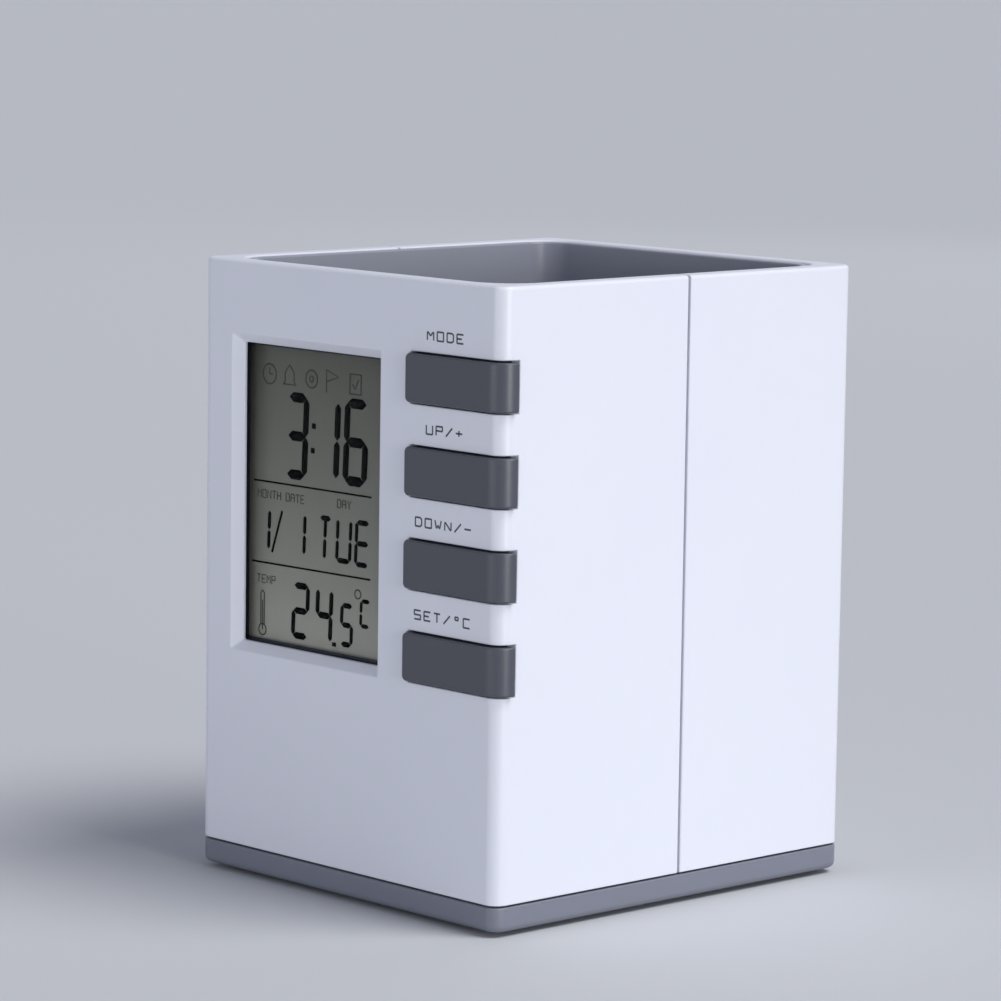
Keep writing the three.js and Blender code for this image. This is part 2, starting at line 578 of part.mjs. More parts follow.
function makeBase() {
  const band = new THREE.ExtrudeGeometry(roundedRectangle(BODY_WIDTH, BODY_DEPTH, CORNER_RADIUS), {
    depth: BASE_BAND,
    bevelEnabled: true,
    bevelThickness: BASE_ROUND,
    bevelSize: BASE_ROUND,
    bevelOffset: -BASE_ROUND,
    bevelSegments: ROUND_STEPS,
    curveSegments: ARC_STEPS,
  }).translate(0, 0, FOOT_PROUD + BASE_ROUND);
  const top = block(-BODY_WIDTH, BODY_WIDTH, -BODY_DEPTH, BODY_DEPTH, BASE_TOP, BODY_HEIGHT);
  const spigotInset = SHELL_WALL + FIT_GAP;
  const ring = (inset) => roundedRectangle(
    BODY_WIDTH - 2 * inset, BODY_DEPTH - 2 * inset, CORNER_RADIUS / 2,
  );
  const spigot = upright(ring(spigotInset), BASE_FLOOR_TOP - OVERRUN, BASE_TOP + SPIGOT_RISE);
  const well = upright(ring(spigotInset + SPIGOT_WALL), BASE_FLOOR_TOP, BODY_HEIGHT);
  const bossPlaces = [-1, 1].flatMap((side) => [[side, FRONT_BOSS_Y], [side, REAR_BOSS_Y]]);
  const padRadius = BOSS_RADIUS + FIT_GAP;
  const pads = bossPlaces.map(([side, y]) => (
    uprightRod(BOSS_RADIUS, side * BOSS_X, y, BASE_FLOOR_TOP - OVERRUN, BASE_TOP)
  ));
  const posts = [-1, 1].flatMap((side) => POST_PLACES.map((y) => (
    uprightRod(POST_RADIUS, side * POST_X, y, BASE_FLOOR_TOP - OVERRUN, CUP_LIFT - FIT_GAP)
  )));
  const notches = bossPlaces.map(([side, y]) => {
    const inner = side * (BOSS_X - padRadius);
    const outer = side * HALF_WIDTH;
    return block(
      Math.min(inner, outer), Math.max(inner, outer), y - padRadius, y + padRadius, BASE_TOP, BODY_HEIGHT,
    );
  });
  notches.push(block(
    TRAY_SPAN / 2, HALF_WIDTH, TRAY_BACK_Y, CELL_Y + LEAD_DIAMETER, BASE_TOP, BODY_HEIGHT,
  ));
  const screwHoles = bossPlaces.flatMap(([side, y]) => [
    uprightRod(SCREW_RADIUS + SCREW_FIT, side * BOSS_X, y, -OVERRUN, BASE_TOP + OVERRUN),
    uprightRod(SCREW_HEAD_RADIUS + SCREW_FIT, side * BOSS_X, y, -OVERRUN, FOOT_PROUD + SCREW_SINK),
  ]);
  const pockets = footPlaces().map(([x, y]) => (
    uprightRod(FOOT_RADIUS + FIT_GAP, x, y, -OVERRUN, FOOT_PROUD + FOOT_SINK + FIT_GAP, LARGE_SIDES)
  ));
  const tray = toSolid(band).subtract(top).add(spigot.subtract(joined(notches))).subtract(well);
  addPiece('base_plate', cutBy(joined([tray, ...pads, ...posts]), [...screwHoles, ...pockets]), 'greyShell');
}

function footPlaces() {
  const x = HALF_WIDTH - FOOT_INSET;
  const y = HALF_DEPTH - FOOT_INSET;
  return [[-x, -y], [x, -y], [-x, y], [x, y]];
}

function makeFeet() {
  const names = ['front_left', 'front_right', 'rear_left', 'rear_right'];
  const height = FOOT_PROUD + FOOT_SINK;
  const profile = [
    [0, 0], [FOOT_RADIUS - FOOT_EDGE, 0], [FOOT_RADIUS, FOOT_EDGE], [FOOT_RADIUS, height], [0, height],
  ].map(([radius, z]) => new THREE.Vector2(radius, z));
  footPlaces().forEach(([x, y], index) => {
    const geometry = new THREE.LatheGeometry(profile, LARGE_SIDES).rotateX(Math.PI / 2);
    addPiece(`foot_${names[index]}`, geometry, 'rubber').position.set(x, y, 0);
  });
}

// Pan head screws, head at the origin and shank along +Z

function screwSolid(radius, headRadius, head, length) {
  const profile = [
    [0, -head], [headRadius * CROSS_DRAFT_SHARE, -head], [headRadius, -head / 2], [headRadius, 0],
    [radius, 0], [radius, length - radius], [0, length],
  ].map(([r, z]) => new THREE.Vector2(r, z));
  const turned = toSolid(new THREE.LatheGeometry(profile, SMALL_SIDES).rotateX(Math.PI / 2));
  const reach = headRadius * CROSS_DRAFT_SHARE * CROSS_DRAFT_SHARE;
  const half = CROSS_WIDTH / 2;
  const floor = -head + CROSS_DEPTH;
  const cross = block(-reach, reach, -half, half, -head - OVERRUN, floor)
    .add(block(-half, half, -reach, reach, -head - OVERRUN, floor));
  return turned.subtract(cross);
}

function makeScrews() {
  const baseScrew = toGeometry(screwSolid(SCREW_RADIUS, SCREW_HEAD_RADIUS, SCREW_HEAD, SCREW_LENGTH));
  const seat = FOOT_PROUD + SCREW_SINK - FIT_GAP;
  [['left', -1], ['right', 1]].forEach(([sideName, side]) => {
    [['front', FRONT_BOSS_Y], ['rear', REAR_BOSS_Y]].forEach(([endName, y]) => {
      addPiece(`base_screw_${endName}_${sideName}`, baseScrew, 'steel').position.set(side * BOSS_X, y, seat);
    });
  });
  const boardScrew = toGeometry(screwSolid(
    BOARD_SCREW_RADIUS, BOARD_SCREW_HEAD_RADIUS, BOARD_SCREW_HEAD, BOARD_SCREW_LENGTH,
  ));
  BOARD_SCREWS.forEach(({ name, x, z }) => {
    const screw = addPiece(`board_screw_${name}`, boardScrew, 'steel');
    screw.position.set(x, BOARD_BACK + COMPONENT_SEAT, z);
    screw.rotation.x = Math.PI / 2;
  });
  [['left', -1], ['right', 1]].forEach(([name, side]) => {
    const screw = addPiece(`tray_screw_${name}`, boardScrew, 'steel');
    screw.position.set(side * EAR_X, EAR_BACK_Y - TRAY_WALL - COMPONENT_SEAT, EAR_SCREW_Z);
    screw.rotation.x = -Math.PI / 2;
  });
}

// The cup: full width at the rim, drawn in below for the display parts in front and the cells behind

function cupProfile(inset, top, bottom) {
  const rise = inset * HALF_ANGLE_SLOPE;
  return outline([
    [CUP_FRONT + inset, top],
    [CUP_FRONT + inset, CUP_SLOPE_TOP + rise],
    [CUP_LOW_FRONT + inset, CUP_SLOPE_BOTTOM + rise],
    [CUP_LOW_FRONT + inset, bottom],
    [CUP_LOW_REAR - inset, bottom],
    [CUP_LOW_REAR - inset, CUP_LEDGE_BOTTOM + rise],
    [CUP_REAR - inset, CUP_LEDGE_TOP + rise],
    [CUP_REAR - inset, top],
  ]);
}

function makeCup() {
  const width = 2 * CUP_HALF_WIDTH;
  const depth = CUP_REAR - CUP_FRONT;
  const outer = upright(roundedRectangle(width, depth, CUP_OUTER_RADIUS), CUP_LIFT, CUP_TOP)
    .intersect(sideways(cupProfile(0, CUP_TOP + OVERRUN, CUP_LIFT), -HALF_WIDTH, HALF_WIDTH));
  const floorTop = CUP_LIFT + CUP_WALL;
  const inner = upright(
    roundedRectangle(width - 2 * CUP_WALL, depth - 2 * CUP_WALL, CUP_INNER_RADIUS),
    floorTop, CUP_TOP + OVERRUN,
  ).intersect(sideways(cupProfile(CUP_WALL, CUP_TOP + 2 * OVERRUN, floorTop), -HALF_WIDTH, HALF_WIDTH));
  const lip = upright(
    roundedRectangle(
      2 * (SIDE_INNER - FIT_GAP), 2 * (REAR_INNER - FIT_GAP), CORNER_RADIUS - SHELL_WALL,
    ),
    LIP_TOP - CUP_LIP, LIP_TOP,
  );
  addPiece('inner_cup', outer.add(lip).subtract(inner), 'greyShell');
}

// Display stack, from the lens back to the contact strips

function panel(width, height, near, far) {
  return block(
    WINDOW_X - width / 2, WINDOW_X + width / 2, near, far, WINDOW_Z - height / 2, WINDOW_Z + height / 2,
  );
}

function makeDisplay() {
  const lens = panel(
    WINDOW_WIDTH + 2 * LENS_MARGIN, WINDOW_HEIGHT + 2 * LENS_MARGIN, LENS_FRONT, LENS_BACK,
  ).add(panel(
    WINDOW_WIDTH - 2 * LENS_FIT, WINDOW_HEIGHT - 2 * LENS_FIT, FRONT + BEVEL_DEPTH, LENS_BACK,
  ));
  addPiece('display_window', lens, 'lens');
  const frontGlass = panel(GLASS_WIDTH, FRONT_GLASS_HEIGHT, FRONT_GLASS_Y, FRONT_GLASS_Y + GLASS_THICKNESS);
  addPiece('lcd_front_glass', frontGlass, 'glass');
  const rearGlass = panel(GLASS_WIDTH, REAR_GLASS_HEIGHT, REAR_GLASS_Y, REAR_GLASS_Y + GLASS_THICKNESS);
  addPiece('lcd_rear_glass', rearGlass, 'glass');
  const backing = panel(GLASS_WIDTH, REAR_GLASS_HEIGHT, BACKING_Y, BACKING_Y + BACKING_THICKNESS);
  addPiece('lcd_backing', backing, 'backing');
  const frame = panel(FRAME_WIDTH, FRAME_HEIGHT, FRAME_FRONT, FRAME_BACK).subtract(
    panel(FRAME_INNER_WIDTH, FRAME_INNER_HEIGHT, FRAME_FRONT - OVERRUN, FRAME_BACK + OVERRUN),
  );
  addPiece('lcd_frame', frame, 'innerPlastic');
  const stripHalf = GLASS_WIDTH / 2 - STRIP_INSET;
  const stripNear = FRONT_GLASS_Y + GLASS_THICKNESS + SNUG_GAP;
  const stripOffset = (REAR_GLASS_HEIGHT + GLASS_LEDGE) / 2;
  [['upper', 1], ['lower', -1]].forEach(([name, side]) => {
    const z = WINDOW_Z + side * stripOffset;
    addPiece(`contact_strip_${name}`, block(
      WINDOW_X - stripHalf, WINDOW_X + stripHalf, stripNear, BOARD_FRONT - SNUG_GAP,
      z - STRIP_THICKNESS / 2, z + STRIP_THICKNESS / 2,
    ), 'strip');
  });
}

// Main board, and the parts on its rear face

function onBoard(geometry, x, z) {
  return geometry.translate(x, BOARD_BACK + COMPONENT_SEAT, z);
}

function makeBoard() {
  const plate = block(BOARD_LEFT, BOARD_RIGHT, BOARD_FRONT, BOARD_BACK, BOARD_BOTTOM, BOARD_TOP);
  const holes = BOARD_SCREWS.map(({ x, z }) => (
    frontRod(BOARD_SCREW_RADIUS + DOOR_PIN_FIT, x, z, BOARD_FRONT - OVERRUN, BOARD_BACK + OVERRUN)
  ));
  addPiece('main_board', cutBy(plate, holes), 'board');

  const dome = [];
  for (let step = 0; step <= DOME_STEPS; step += 1) {
    const angle = (step / DOME_STEPS) * Math.PI / 2;
    dome.push(new THREE.Vector2(CHIP_RADIUS * Math.cos(angle), CHIP_HEIGHT * Math.sin(angle)));
  }
  dome[DOME_STEPS].x = 0;
  const chip = new THREE.LatheGeometry([new THREE.Vector2(0, 0), ...dome], LARGE_SIDES);
  addPiece('chip_blob', onBoard(chip, WINDOW_X, WINDOW_Z), 'epoxy');

  const buzzer = frontRod(BUZZER_RADIUS, 0, 0, 0, BUZZER_HEIGHT, LARGE_SIDES).subtract(
    frontRod(BUZZER_PORT_RADIUS, 0, 0, BUZZER_HEIGHT - BUZZER_PORT_DEPTH, BUZZER_HEIGHT + OVERRUN),
  );
  const buzzerX = SWITCH_X - SWITCH_SIZE / 2;
  addPiece('buzzer', onBoard(toGeometry(buzzer), buzzerX, (buttonZ(1) + buttonZ(2)) / 2), 'epoxy');

  const crystal = rodGeometry(CRYSTAL_RADIUS, CRYSTAL_LENGTH, SMALL_SIDES).rotateX(Math.PI / 2)
    .translate(0, CRYSTAL_RADIUS, 0);
  addPiece('crystal_can', onBoard(crystal, WINDOW_X + 2 * CHIP_RADIUS, WINDOW_Z + CHIP_RADIUS), 'steel');

  const capacitor = rodGeometry(CAPACITOR_RADIUS, CAPACITOR_HEIGHT, SMALL_SIDES)
    .translate(0, CAPACITOR_HEIGHT / 2, 0);
  const capacitorX = WINDOW_X + 2 * CHIP_RADIUS;
  addPiece('capacitor', onBoard(capacitor, capacitorX, WINDOW_Z - 2 * CHIP_RADIUS), 'nickel');

  const bead = new THREE.SphereGeometry(THERMISTOR_RADIUS, SMALL_SIDES, SMALL_SIDES / 2)
    .translate(0, THERMISTOR_RADIUS, 0);
  const beadZ = BOARD_BOTTOM + 2 * THERMISTOR_RADIUS;
  addPiece('thermistor', onBoard(bead, WINDOW_X - CHIP_RADIUS, beadZ), 'epoxy');
}

// Keys round the front right corner, each pressing the plunger of its own switch

function buttonOutline() {
  const cornerX = HALF_WIDTH - CORNER_RADIUS;
  const cornerY = FRONT + CORNER_RADIUS;
  const shape = new THREE.Shape();
  shape.moveTo(BUTTON_LEFT, BUTTON_FACE);
  shape.lineTo(cornerX, BUTTON_FACE);
  shape.absarc(cornerX, cornerY, CORNER_RADIUS + BUTTON_PROUD, -Math.PI / 2, 0, false);
  shape.lineTo(HALF_WIDTH + BUTTON_PROUD, BUTTON_SIDE_END);
  shape.lineTo(SIDE_INNER - FIT_GAP, BUTTON_SIDE_END);
  shape.lineTo(SIDE_INNER - FIT_GAP, BUTTON_REAR);
  shape.lineTo(BUTTON_LEFT, BUTTON_REAR);
  shape.closePath();
  return shape;
}

function makeButton(name, index) {
  const z = buttonZ(index);
  const low = z - BUTTON_HEIGHT / 2;
  const high = z + BUTTON_HEIGHT / 2;
  const outside = BODY_WIDTH;
  const roundedLeft = frontward(
    roundedRectangle(
      outside - BUTTON_LEFT, BUTTON_HEIGHT, BUTTON_LEFT_ROUND, (outside + BUTTON_LEFT) / 2, z,
    ),
    BUTTON_FACE - OVERRUN, FRONT_INNER + SHELL_WALL + OVERRUN, ROUND_STEPS,
  );
  const cap = upright(buttonOutline(), low, high).intersect(roundedLeft);
  const flange = block(
    BUTTON_LEFT - BUTTON_FLANGE, SIDE_INNER - FIT_GAP,
    BUTTON_REAR - BUTTON_FLANGE_THICKNESS, BUTTON_REAR,
    low - BUTTON_FLANGE, high + BUTTON_FLANGE,
  );
  addPiece(`button_${name}`, cap.add(flange), 'greyShell');

  const tip = BUTTON_REAR + PLUNGER_FIT;
  const bodyFront = BOARD_FRONT - SNUG_GAP - SWITCH_HEIGHT;
  const plungerEnd = bodyFront + PLUNGER_SINK;
  addPiece(`switch_plunger_${name}`, frontRod(PLUNGER_RADIUS, SWITCH_X, z, tip, plungerEnd), 'switchBody');
  const half = SWITCH_SIZE / 2;
  const housing = block(
    SWITCH_X - half, SWITCH_X + half, bodyFront, BOARD_FRONT - SNUG_GAP, z - half, z + half,
  ).subtract(frontRod(
    PLUNGER_RADIUS + PLUNGER_FIT, SWITCH_X, z, bodyFront - OVERRUN, plungerEnd + PLUNGER_SPARE,
  ));
  addPiece(`switch_body_${name}`, housing, 'switchBody');
}

// Battery tray on the rear wall, with two cells lying across it one above the other

function makeTray() {
  const half = TRAY_SPAN / 2;
  const low = TRAY_LIFT - TRAY_WALL;
  const high = TRAY_TOP + TRAY_WALL;
  const box = block(-half - TRAY_WALL, half + TRAY_WALL, TRAY_BACK_Y, TRAY_MOUTH, low, high);
  const room = block(-half, half, TRAY_FLOOR_Y, REAR, TRAY_LIFT, TRAY_TOP);
  const ears = [-1, 1].map((side) => block(
    side * EAR_X - EAR_WIDTH / 2, side * EAR_X + EAR_WIDTH / 2,
    EAR_BACK_Y - TRAY_WALL, EAR_BACK_Y, TRAY_TOP, EAR_TOP,
  ));
  const holes = [-1, 1].map((side) => frontRod(
    BOARD_SCREW_RADIUS + DOOR_PIN_FIT, side * EAR_X, EAR_SCREW_Z, TRAY_BACK_Y, TRAY_MOUTH,
  ));
  const tailSlots = [LOWER_CELL_Z, UPPER_CELL_Z].map((z) => block(
    half - OVERRUN, half + TRAY_WALL + OVERRUN,
    CELL_Y - PLATE_MARGIN - FIT_GAP, CELL_Y + PLATE_MARGIN + FIT_GAP,
    z - PLATE_THICKNESS / 2 - FIT_GAP, z + PLATE_THICKNESS / 2 + FIT_GAP,
  ));
  addPiece('battery_tray', cutBy(joined([box, ...ears]), [room, ...holes, ...tailSlots]), 'innerPlastic');
}

function makeCell(name, z, direction) {
  const can = CELL_LENGTH - CELL_NUB_LENGTH;
  const profile = [
    [0, 0], [CELL_RADIUS, 0], [CELL_RADIUS, can], [CELL_NUB_RADIUS, can],
    [CELL_NUB_RADIUS, CELL_LENGTH], [0, CELL_LENGTH],
  ].map(([radius, x]) => new THREE.Vector2(radius, x));
  const cell = addPiece(name, new THREE.LatheGeometry(profile, LARGE_SIDES), 'cellJacket');
  cell.rotation.z = -direction * Math.PI / 2;
  cell.position.set(direction * (PLATE_X - PLATE_THICKNESS - FIT_GAP - CELL_LENGTH), CELL_Y, z);
}

function endPlate(name, z) {
  const half = CELL_RADIUS - PLATE_MARGIN / 2;
  const inner = PLATE_X - PLATE_THICKNESS;
  const tailEnd = TRAY_SPAN / 2 + TRAY_WALL + PLATE_TAIL_REACH;
  const face = block(inner, PLATE_X, CELL_Y - half, CELL_Y + half, z - half, z + half);
  const tail = block(
    inner, tailEnd, CELL_Y - PLATE_MARGIN, CELL_Y + PLATE_MARGIN,
    z - PLATE_THICKNESS / 2, z + PLATE_THICKNESS / 2,
  );
  addPiece(name, face.add(tail), 'nickel');
}

// A conical coil along X, wide end at its plate, as one unbroken wire
function makeCoil(name, z, direction) {
  const plateFace = PLATE_X - PLATE_THICKNESS - SPRING_WIRE / 2 - FIT_GAP;
  const cellFace = CELL_LENGTH - (PLATE_X - PLATE_THICKNESS - FIT_GAP) + SPRING_WIRE / 2 + FIT_GAP;
  const count = SPRING_TURNS * SPRING_STEPS;
  const points = [];
  for (let step = 0; step <= count; step += 1) {
    const share = step / count;
    const angle = share * SPRING_TURNS * Math.PI * 2;
    const radius = THREE.MathUtils.lerp(SPRING_WIDE_RADIUS, SPRING_NARROW_RADIUS, share);
    points.push(new THREE.Vector3(
      direction * THREE.MathUtils.lerp(plateFace, cellFace, share),
      CELL_Y + radius * Math.cos(angle),
      z + radius * Math.sin(angle),
    ));
  }
  let leastGap = Infinity;
  points.forEach((point, index) => points.slice(index + SPRING_STEPS / 2).forEach((other) => {
    leastGap = Math.min(leastGap, point.distanceTo(other) - SPRING_WIRE);
  }));
  console.log(`${name}: least gap between turns ${leastGap.toFixed(2)} mm`);
  const section = new THREE.Shape().absarc(0, 0, SPRING_WIRE / 2, 0, Math.PI * 2, false);
  addPiece(name, tubeAlong(points, section, count, SPRING_SIDES), 'nickel');
}

function tubeAlong(points, section, steps, sides) {
  const ring = new THREE.Shape(section.getSpacedPoints(sides).slice(0, sides));
  return new THREE.ExtrudeGeometry(ring, {
    steps,
    bevelEnabled: false,
    extrudePath: new THREE.CatmullRomCurve3(points),
  });
}

function makeContacts() {
  const half = CELL_RADIUS - PLATE_MARGIN / 2;
  addPiece('battery_link_plate', block(
    -PLATE_X, -PLATE_X + PLATE_THICKNESS, CELL_Y - half, CELL_Y + half,
    LOWER_CELL_Z - half, UPPER_CELL_Z + half,
  ), 'nickel');
  endPlate('battery_plate_positive', UPPER_CELL_Z);
  endPlate('battery_plate_negative', LOWER_CELL_Z);
  makeCoil('battery_spring_link', UPPER_CELL_Z, -1);
  makeCoil('battery_spring_end', LOWER_CELL_Z, 1);
}

// Leads from the tray down to the base floor, forward along it and up to the board

function makeLead(name, startZ, lane, finish) {
  const radius = LEAD_DIAMETER / 2;
  const pitch = LEAD_DIAMETER + LEAD_SPACE;
  const trayEdge = TRAY_SPAN / 2 + TRAY_WALL;
  const tail = trayEdge + PLATE_TAIL_REACH + FIT_GAP;
  const sideX = (trayEdge + SIDE_INNER) / 2;
  const sideY = CELL_Y - LEAD_DIAMETER - lane * 2 * LEAD_DIAMETER;
  const laneX = POST_X - POST_RADIUS - LEAD_SPACE - radius - (1 - lane) * pitch;
  const turnY = TRAY_BACK_Y - (lane + 1) * pitch;
  const floorZ = BASE_FLOOR_TOP + radius + FIT_GAP;
  const riseY = CUP_LOW_FRONT - LEAD_DIAMETER - LEAD_SPACE;
  const boardZ = BOARD_BOTTOM + 2 * LEAD_DIAMETER;
  const points = [
    [tail, CELL_Y, startZ],
    [(tail + sideX) / 2, CELL_Y - radius / 2, startZ - radius / 2],
    [sideX, (CELL_Y + sideY) / 2, startZ - LEAD_DIAMETER],
    [sideX, sideY, startZ - 3 * LEAD_DIAMETER],
    [sideX, sideY, floorZ + 4 * LEAD_DIAMETER],
    [sideX - radius, sideY - radius, floorZ + LEAD_DIAMETER],
    [sideX - 2 * pitch, sideY - pitch, floorZ],
    [laneX + pitch, turnY, floorZ],
    [laneX, turnY - pitch, floorZ],
    [laneX, 0, floorZ],
    [laneX, FRONT_BOSS_Y + BOSS_RADIUS, floorZ],
    [laneX, riseY + radius, floorZ + LEAD_DIAMETER],
    [laneX, riseY, floorZ + 4 * LEAD_DIAMETER],
    [laneX, riseY, BOARD_BOTTOM - 2 * LEAD_DIAMETER],
    [laneX, (riseY + BOARD_BACK) / 2, boardZ - radius],
    [laneX, BOARD_BACK + LEAD_DIAMETER, boardZ],
    [laneX, BOARD_BACK + FIT_GAP, boardZ],
  ].map(([x, y, z]) => new THREE.Vector3(x, y, z));
  const section = new THREE.Shape().absarc(0, 0, radius, 0, Math.PI * 2, false);
  addPiece(name, tubeAlong(points, section, LEAD_STEPS, LEAD_SIDES), finish);
}

makeFrontShell();
makeRearShell();
makeBase();
makeFeet();
makeCup();
makeDisplay();
makeBoard();
BUTTON_NAMES.forEach(makeButton);
makeTray();
makeCell('cell_upper', UPPER_CELL_Z, 1);
makeCell('cell_lower', LOWER_CELL_Z, -1);
makeContacts();
makeDoor();
makeLead('battery_lead_red', UPPER_CELL_Z, 1, 'redWire');
makeLead('battery_lead_black', LOWER_CELL_Z, 0, 'blackWire');
makeScrews();

export default assembly;
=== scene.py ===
"""Looks of a pen holder clock: moulded shells, cup, keys, segment display and the parts inside them.

Every solid is built in millimetres about the body's centre line and then placed in the frame, in metres.
"""

import logging
import math
from collections.abc import Callable, Iterable, Sequence
from dataclasses import dataclass, field
from enum import Enum

import bmesh
import bpy
from mathutils import Matrix, Vector


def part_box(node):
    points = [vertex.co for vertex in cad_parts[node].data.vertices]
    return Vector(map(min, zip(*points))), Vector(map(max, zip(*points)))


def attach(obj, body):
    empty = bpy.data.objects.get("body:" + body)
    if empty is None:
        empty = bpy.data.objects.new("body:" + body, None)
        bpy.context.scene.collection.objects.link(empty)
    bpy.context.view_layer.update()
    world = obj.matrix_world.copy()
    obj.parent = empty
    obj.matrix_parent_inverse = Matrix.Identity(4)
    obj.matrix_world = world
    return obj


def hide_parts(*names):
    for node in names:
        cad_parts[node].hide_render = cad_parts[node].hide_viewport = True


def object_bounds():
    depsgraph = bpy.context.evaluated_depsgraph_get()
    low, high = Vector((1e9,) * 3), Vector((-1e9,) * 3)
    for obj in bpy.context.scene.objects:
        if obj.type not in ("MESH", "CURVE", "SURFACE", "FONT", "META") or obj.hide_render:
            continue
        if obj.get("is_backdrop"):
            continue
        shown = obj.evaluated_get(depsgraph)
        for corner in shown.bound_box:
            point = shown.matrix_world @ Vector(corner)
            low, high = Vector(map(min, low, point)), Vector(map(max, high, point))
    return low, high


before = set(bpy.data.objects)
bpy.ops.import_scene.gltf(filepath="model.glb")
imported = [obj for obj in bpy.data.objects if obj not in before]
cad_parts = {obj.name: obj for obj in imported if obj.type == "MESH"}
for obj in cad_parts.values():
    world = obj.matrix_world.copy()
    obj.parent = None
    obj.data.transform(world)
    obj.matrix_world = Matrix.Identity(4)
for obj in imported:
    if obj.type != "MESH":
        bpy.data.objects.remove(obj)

CAD_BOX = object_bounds()
LOG = logging.getLogger("pen_holder_clock")

Point = tuple[float, float]
Line = list[Point]
Rounding = Callable[[Vector], float]
Inputs = dict[str | int, object]
Material = bpy.types.Material
Mesh = bpy.types.Mesh
Socket = bpy.types.NodeSocket
Tree = bpy.types.NodeTree

# How solids are cut, rounded and merged, in millimetres
MM = 0.001
OVERRUN = 1.0
ARC_STEPS = 12
SMALL_ARC_STEPS = 4
ROD_SIDES = 48
MERGE_DISTANCE = 0.002
LEVEL_MARGIN = 0.01
SKIN_MARGIN = 0.05
FLAT_ANGLE = math.radians(0.5)
SOFT_ANGLE = math.radians(24)
SHARP_ANGLE = math.radians(38)
UPWARD = Vector((0, 0, 1))
REARWARD = Vector((0, 1, 0))

# Sizes that several sub-assemblies share, in millimetres. The cup's low front wall stands behind the
# buzzer, and the lens reaches behind the shell by its ledge on all sides.
WALL = 2.0
CORNER = 2.6
RIM_WIDTH = 3.4
RIM_THICKNESS = 2.0
FIT = 0.3
CUP_WALL = 1.4
CUP_TO_BUZZER = 1.7
LENS_LEDGE = 2.5
KEY_FLANGE = 1.0
DOOR_BEAD = 1.6
DOOR_PIN = 0.75
DOOR_PIN_LENGTH = 1.6
TRAY_WALL = 1.2
LEAD_DIAMETER = 1.3

# Bodies and nodes of the frame
CASE = "case"
ENDS = ("front", "rear")
SIDES = ("left", "right")
KEY_NODES = ("button_mode", "button_up", "button_down", "button_set")
FEET = tuple(f"foot_{end}_{side}" for end in ENDS for side in SIDES)
BASE_SCREWS = tuple(f"base_screw_{end}_{side}" for end in ENDS for side in SIDES)
BOARD_SCREWS = tuple(f"board_screw_{side}_{end}" for side in SIDES for end in ("top", "bottom"))
TRAY_SCREWS = tuple(f"tray_screw_{side}" for side in SIDES)

# A pan head's outline, in shares of its radius and its height
HEAD_OUTLINE = ((0, 0), (0.62, 0), (0.85, 0.14), (0.97, 0.4), (1, 0.62), (1, 1))

# Letters as lines between places on a grid, four steps wide and six steps high
LETTER_STROKES: dict[str, tuple[str, ...]] = {
    "A": ("00 05 16 36 45 40", "03 43"), "C": ("46 06 00 40",), "D": ("00 06 36 45 41 30 00",),
    "E": ("46 06 00 40", "03 33"), "H": ("00 06", "40 46", "03 43"), "M": ("00 06 23 46 40",),
    "N": ("00 06 40 46",), "O": ("00 06 46 40 00",), "P": ("00 06 46 43 03",),
    "S": ("46 06 03 43 40 00",), "T": ("06 46", "20 26"), "U": ("06 00 40 46",),
    "W": ("06 10 23 30 46",), "Y": ("06 23 46", "23 20"), "+": ("03 43", "21 25"), "-": ("03 43",),
    "/": ("00 46",), "°": ("14 34 36 16 14",),
}
GRID_WIDTH, GRID_HEIGHT = 4, 6

# The ends of each bar of a digit, by the nine corners of its cell
BARS: dict[str, tuple[str, str]] = {
    "a": ("tl", "tr"), "b": ("tr", "mr"), "c": ("mr", "br"), "d": ("bl", "br"), "e": ("ml", "bl"),
    "f": ("tl", "ml"), "g": ("ml", "mr"), "h": ("tc", "mc"), "i": ("mc", "bc"),
}
LIT_BARS: dict[str, str] = {
    "1": "bc", "2": "abged", "3": "abgcd", "4": "fgbc", "5": "afgcd", "6": "afgecd",
    "T": "ahi", "U": "fbecd", "E": "afged", "C": "afed",
}

# What else the display shows, about the window's middle
RULES: list[Line] = [[(-17.6, 1.8), (12.5, 1.85)], [(-17.9, -12.15), (12.4, -11.95)]]
DOTS: list[Line] = [
    [(-2.24, 11.9), (-2.21, 12.8)], [(-2.47, 7.75), (-2.44, 8.65)], [(3.42, -24.3), (3.42, -23.6)],
]
SLASH: list[Line] = [[(-12.8, -10.15), (-10.2, -2.85)]]
LABELS: tuple[tuple[str, Point], ...] = (
    ("MONTH", (-13.6, -0.35)), ("DATE", (-6.9, -0.35)), ("DAY", (5.65, -0.05)), ("TEMP", (-14.25, -14.95)),
)
SIGN_ROW = 20.2
SIGN_SIDES = 16


def body_centre() -> Vector:
    """Gives the centre line of the base tray in the frame, in metres."""
    low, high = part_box("base_plate")
    return Vector(((low.x + high.x) / 2, (low.y + high.y) / 2, 0.0))


CENTRE = body_centre()
TO_FRAME = Matrix.Translation(CENTRE) @ Matrix.Diagonal((MM, MM, MM, 1.0))


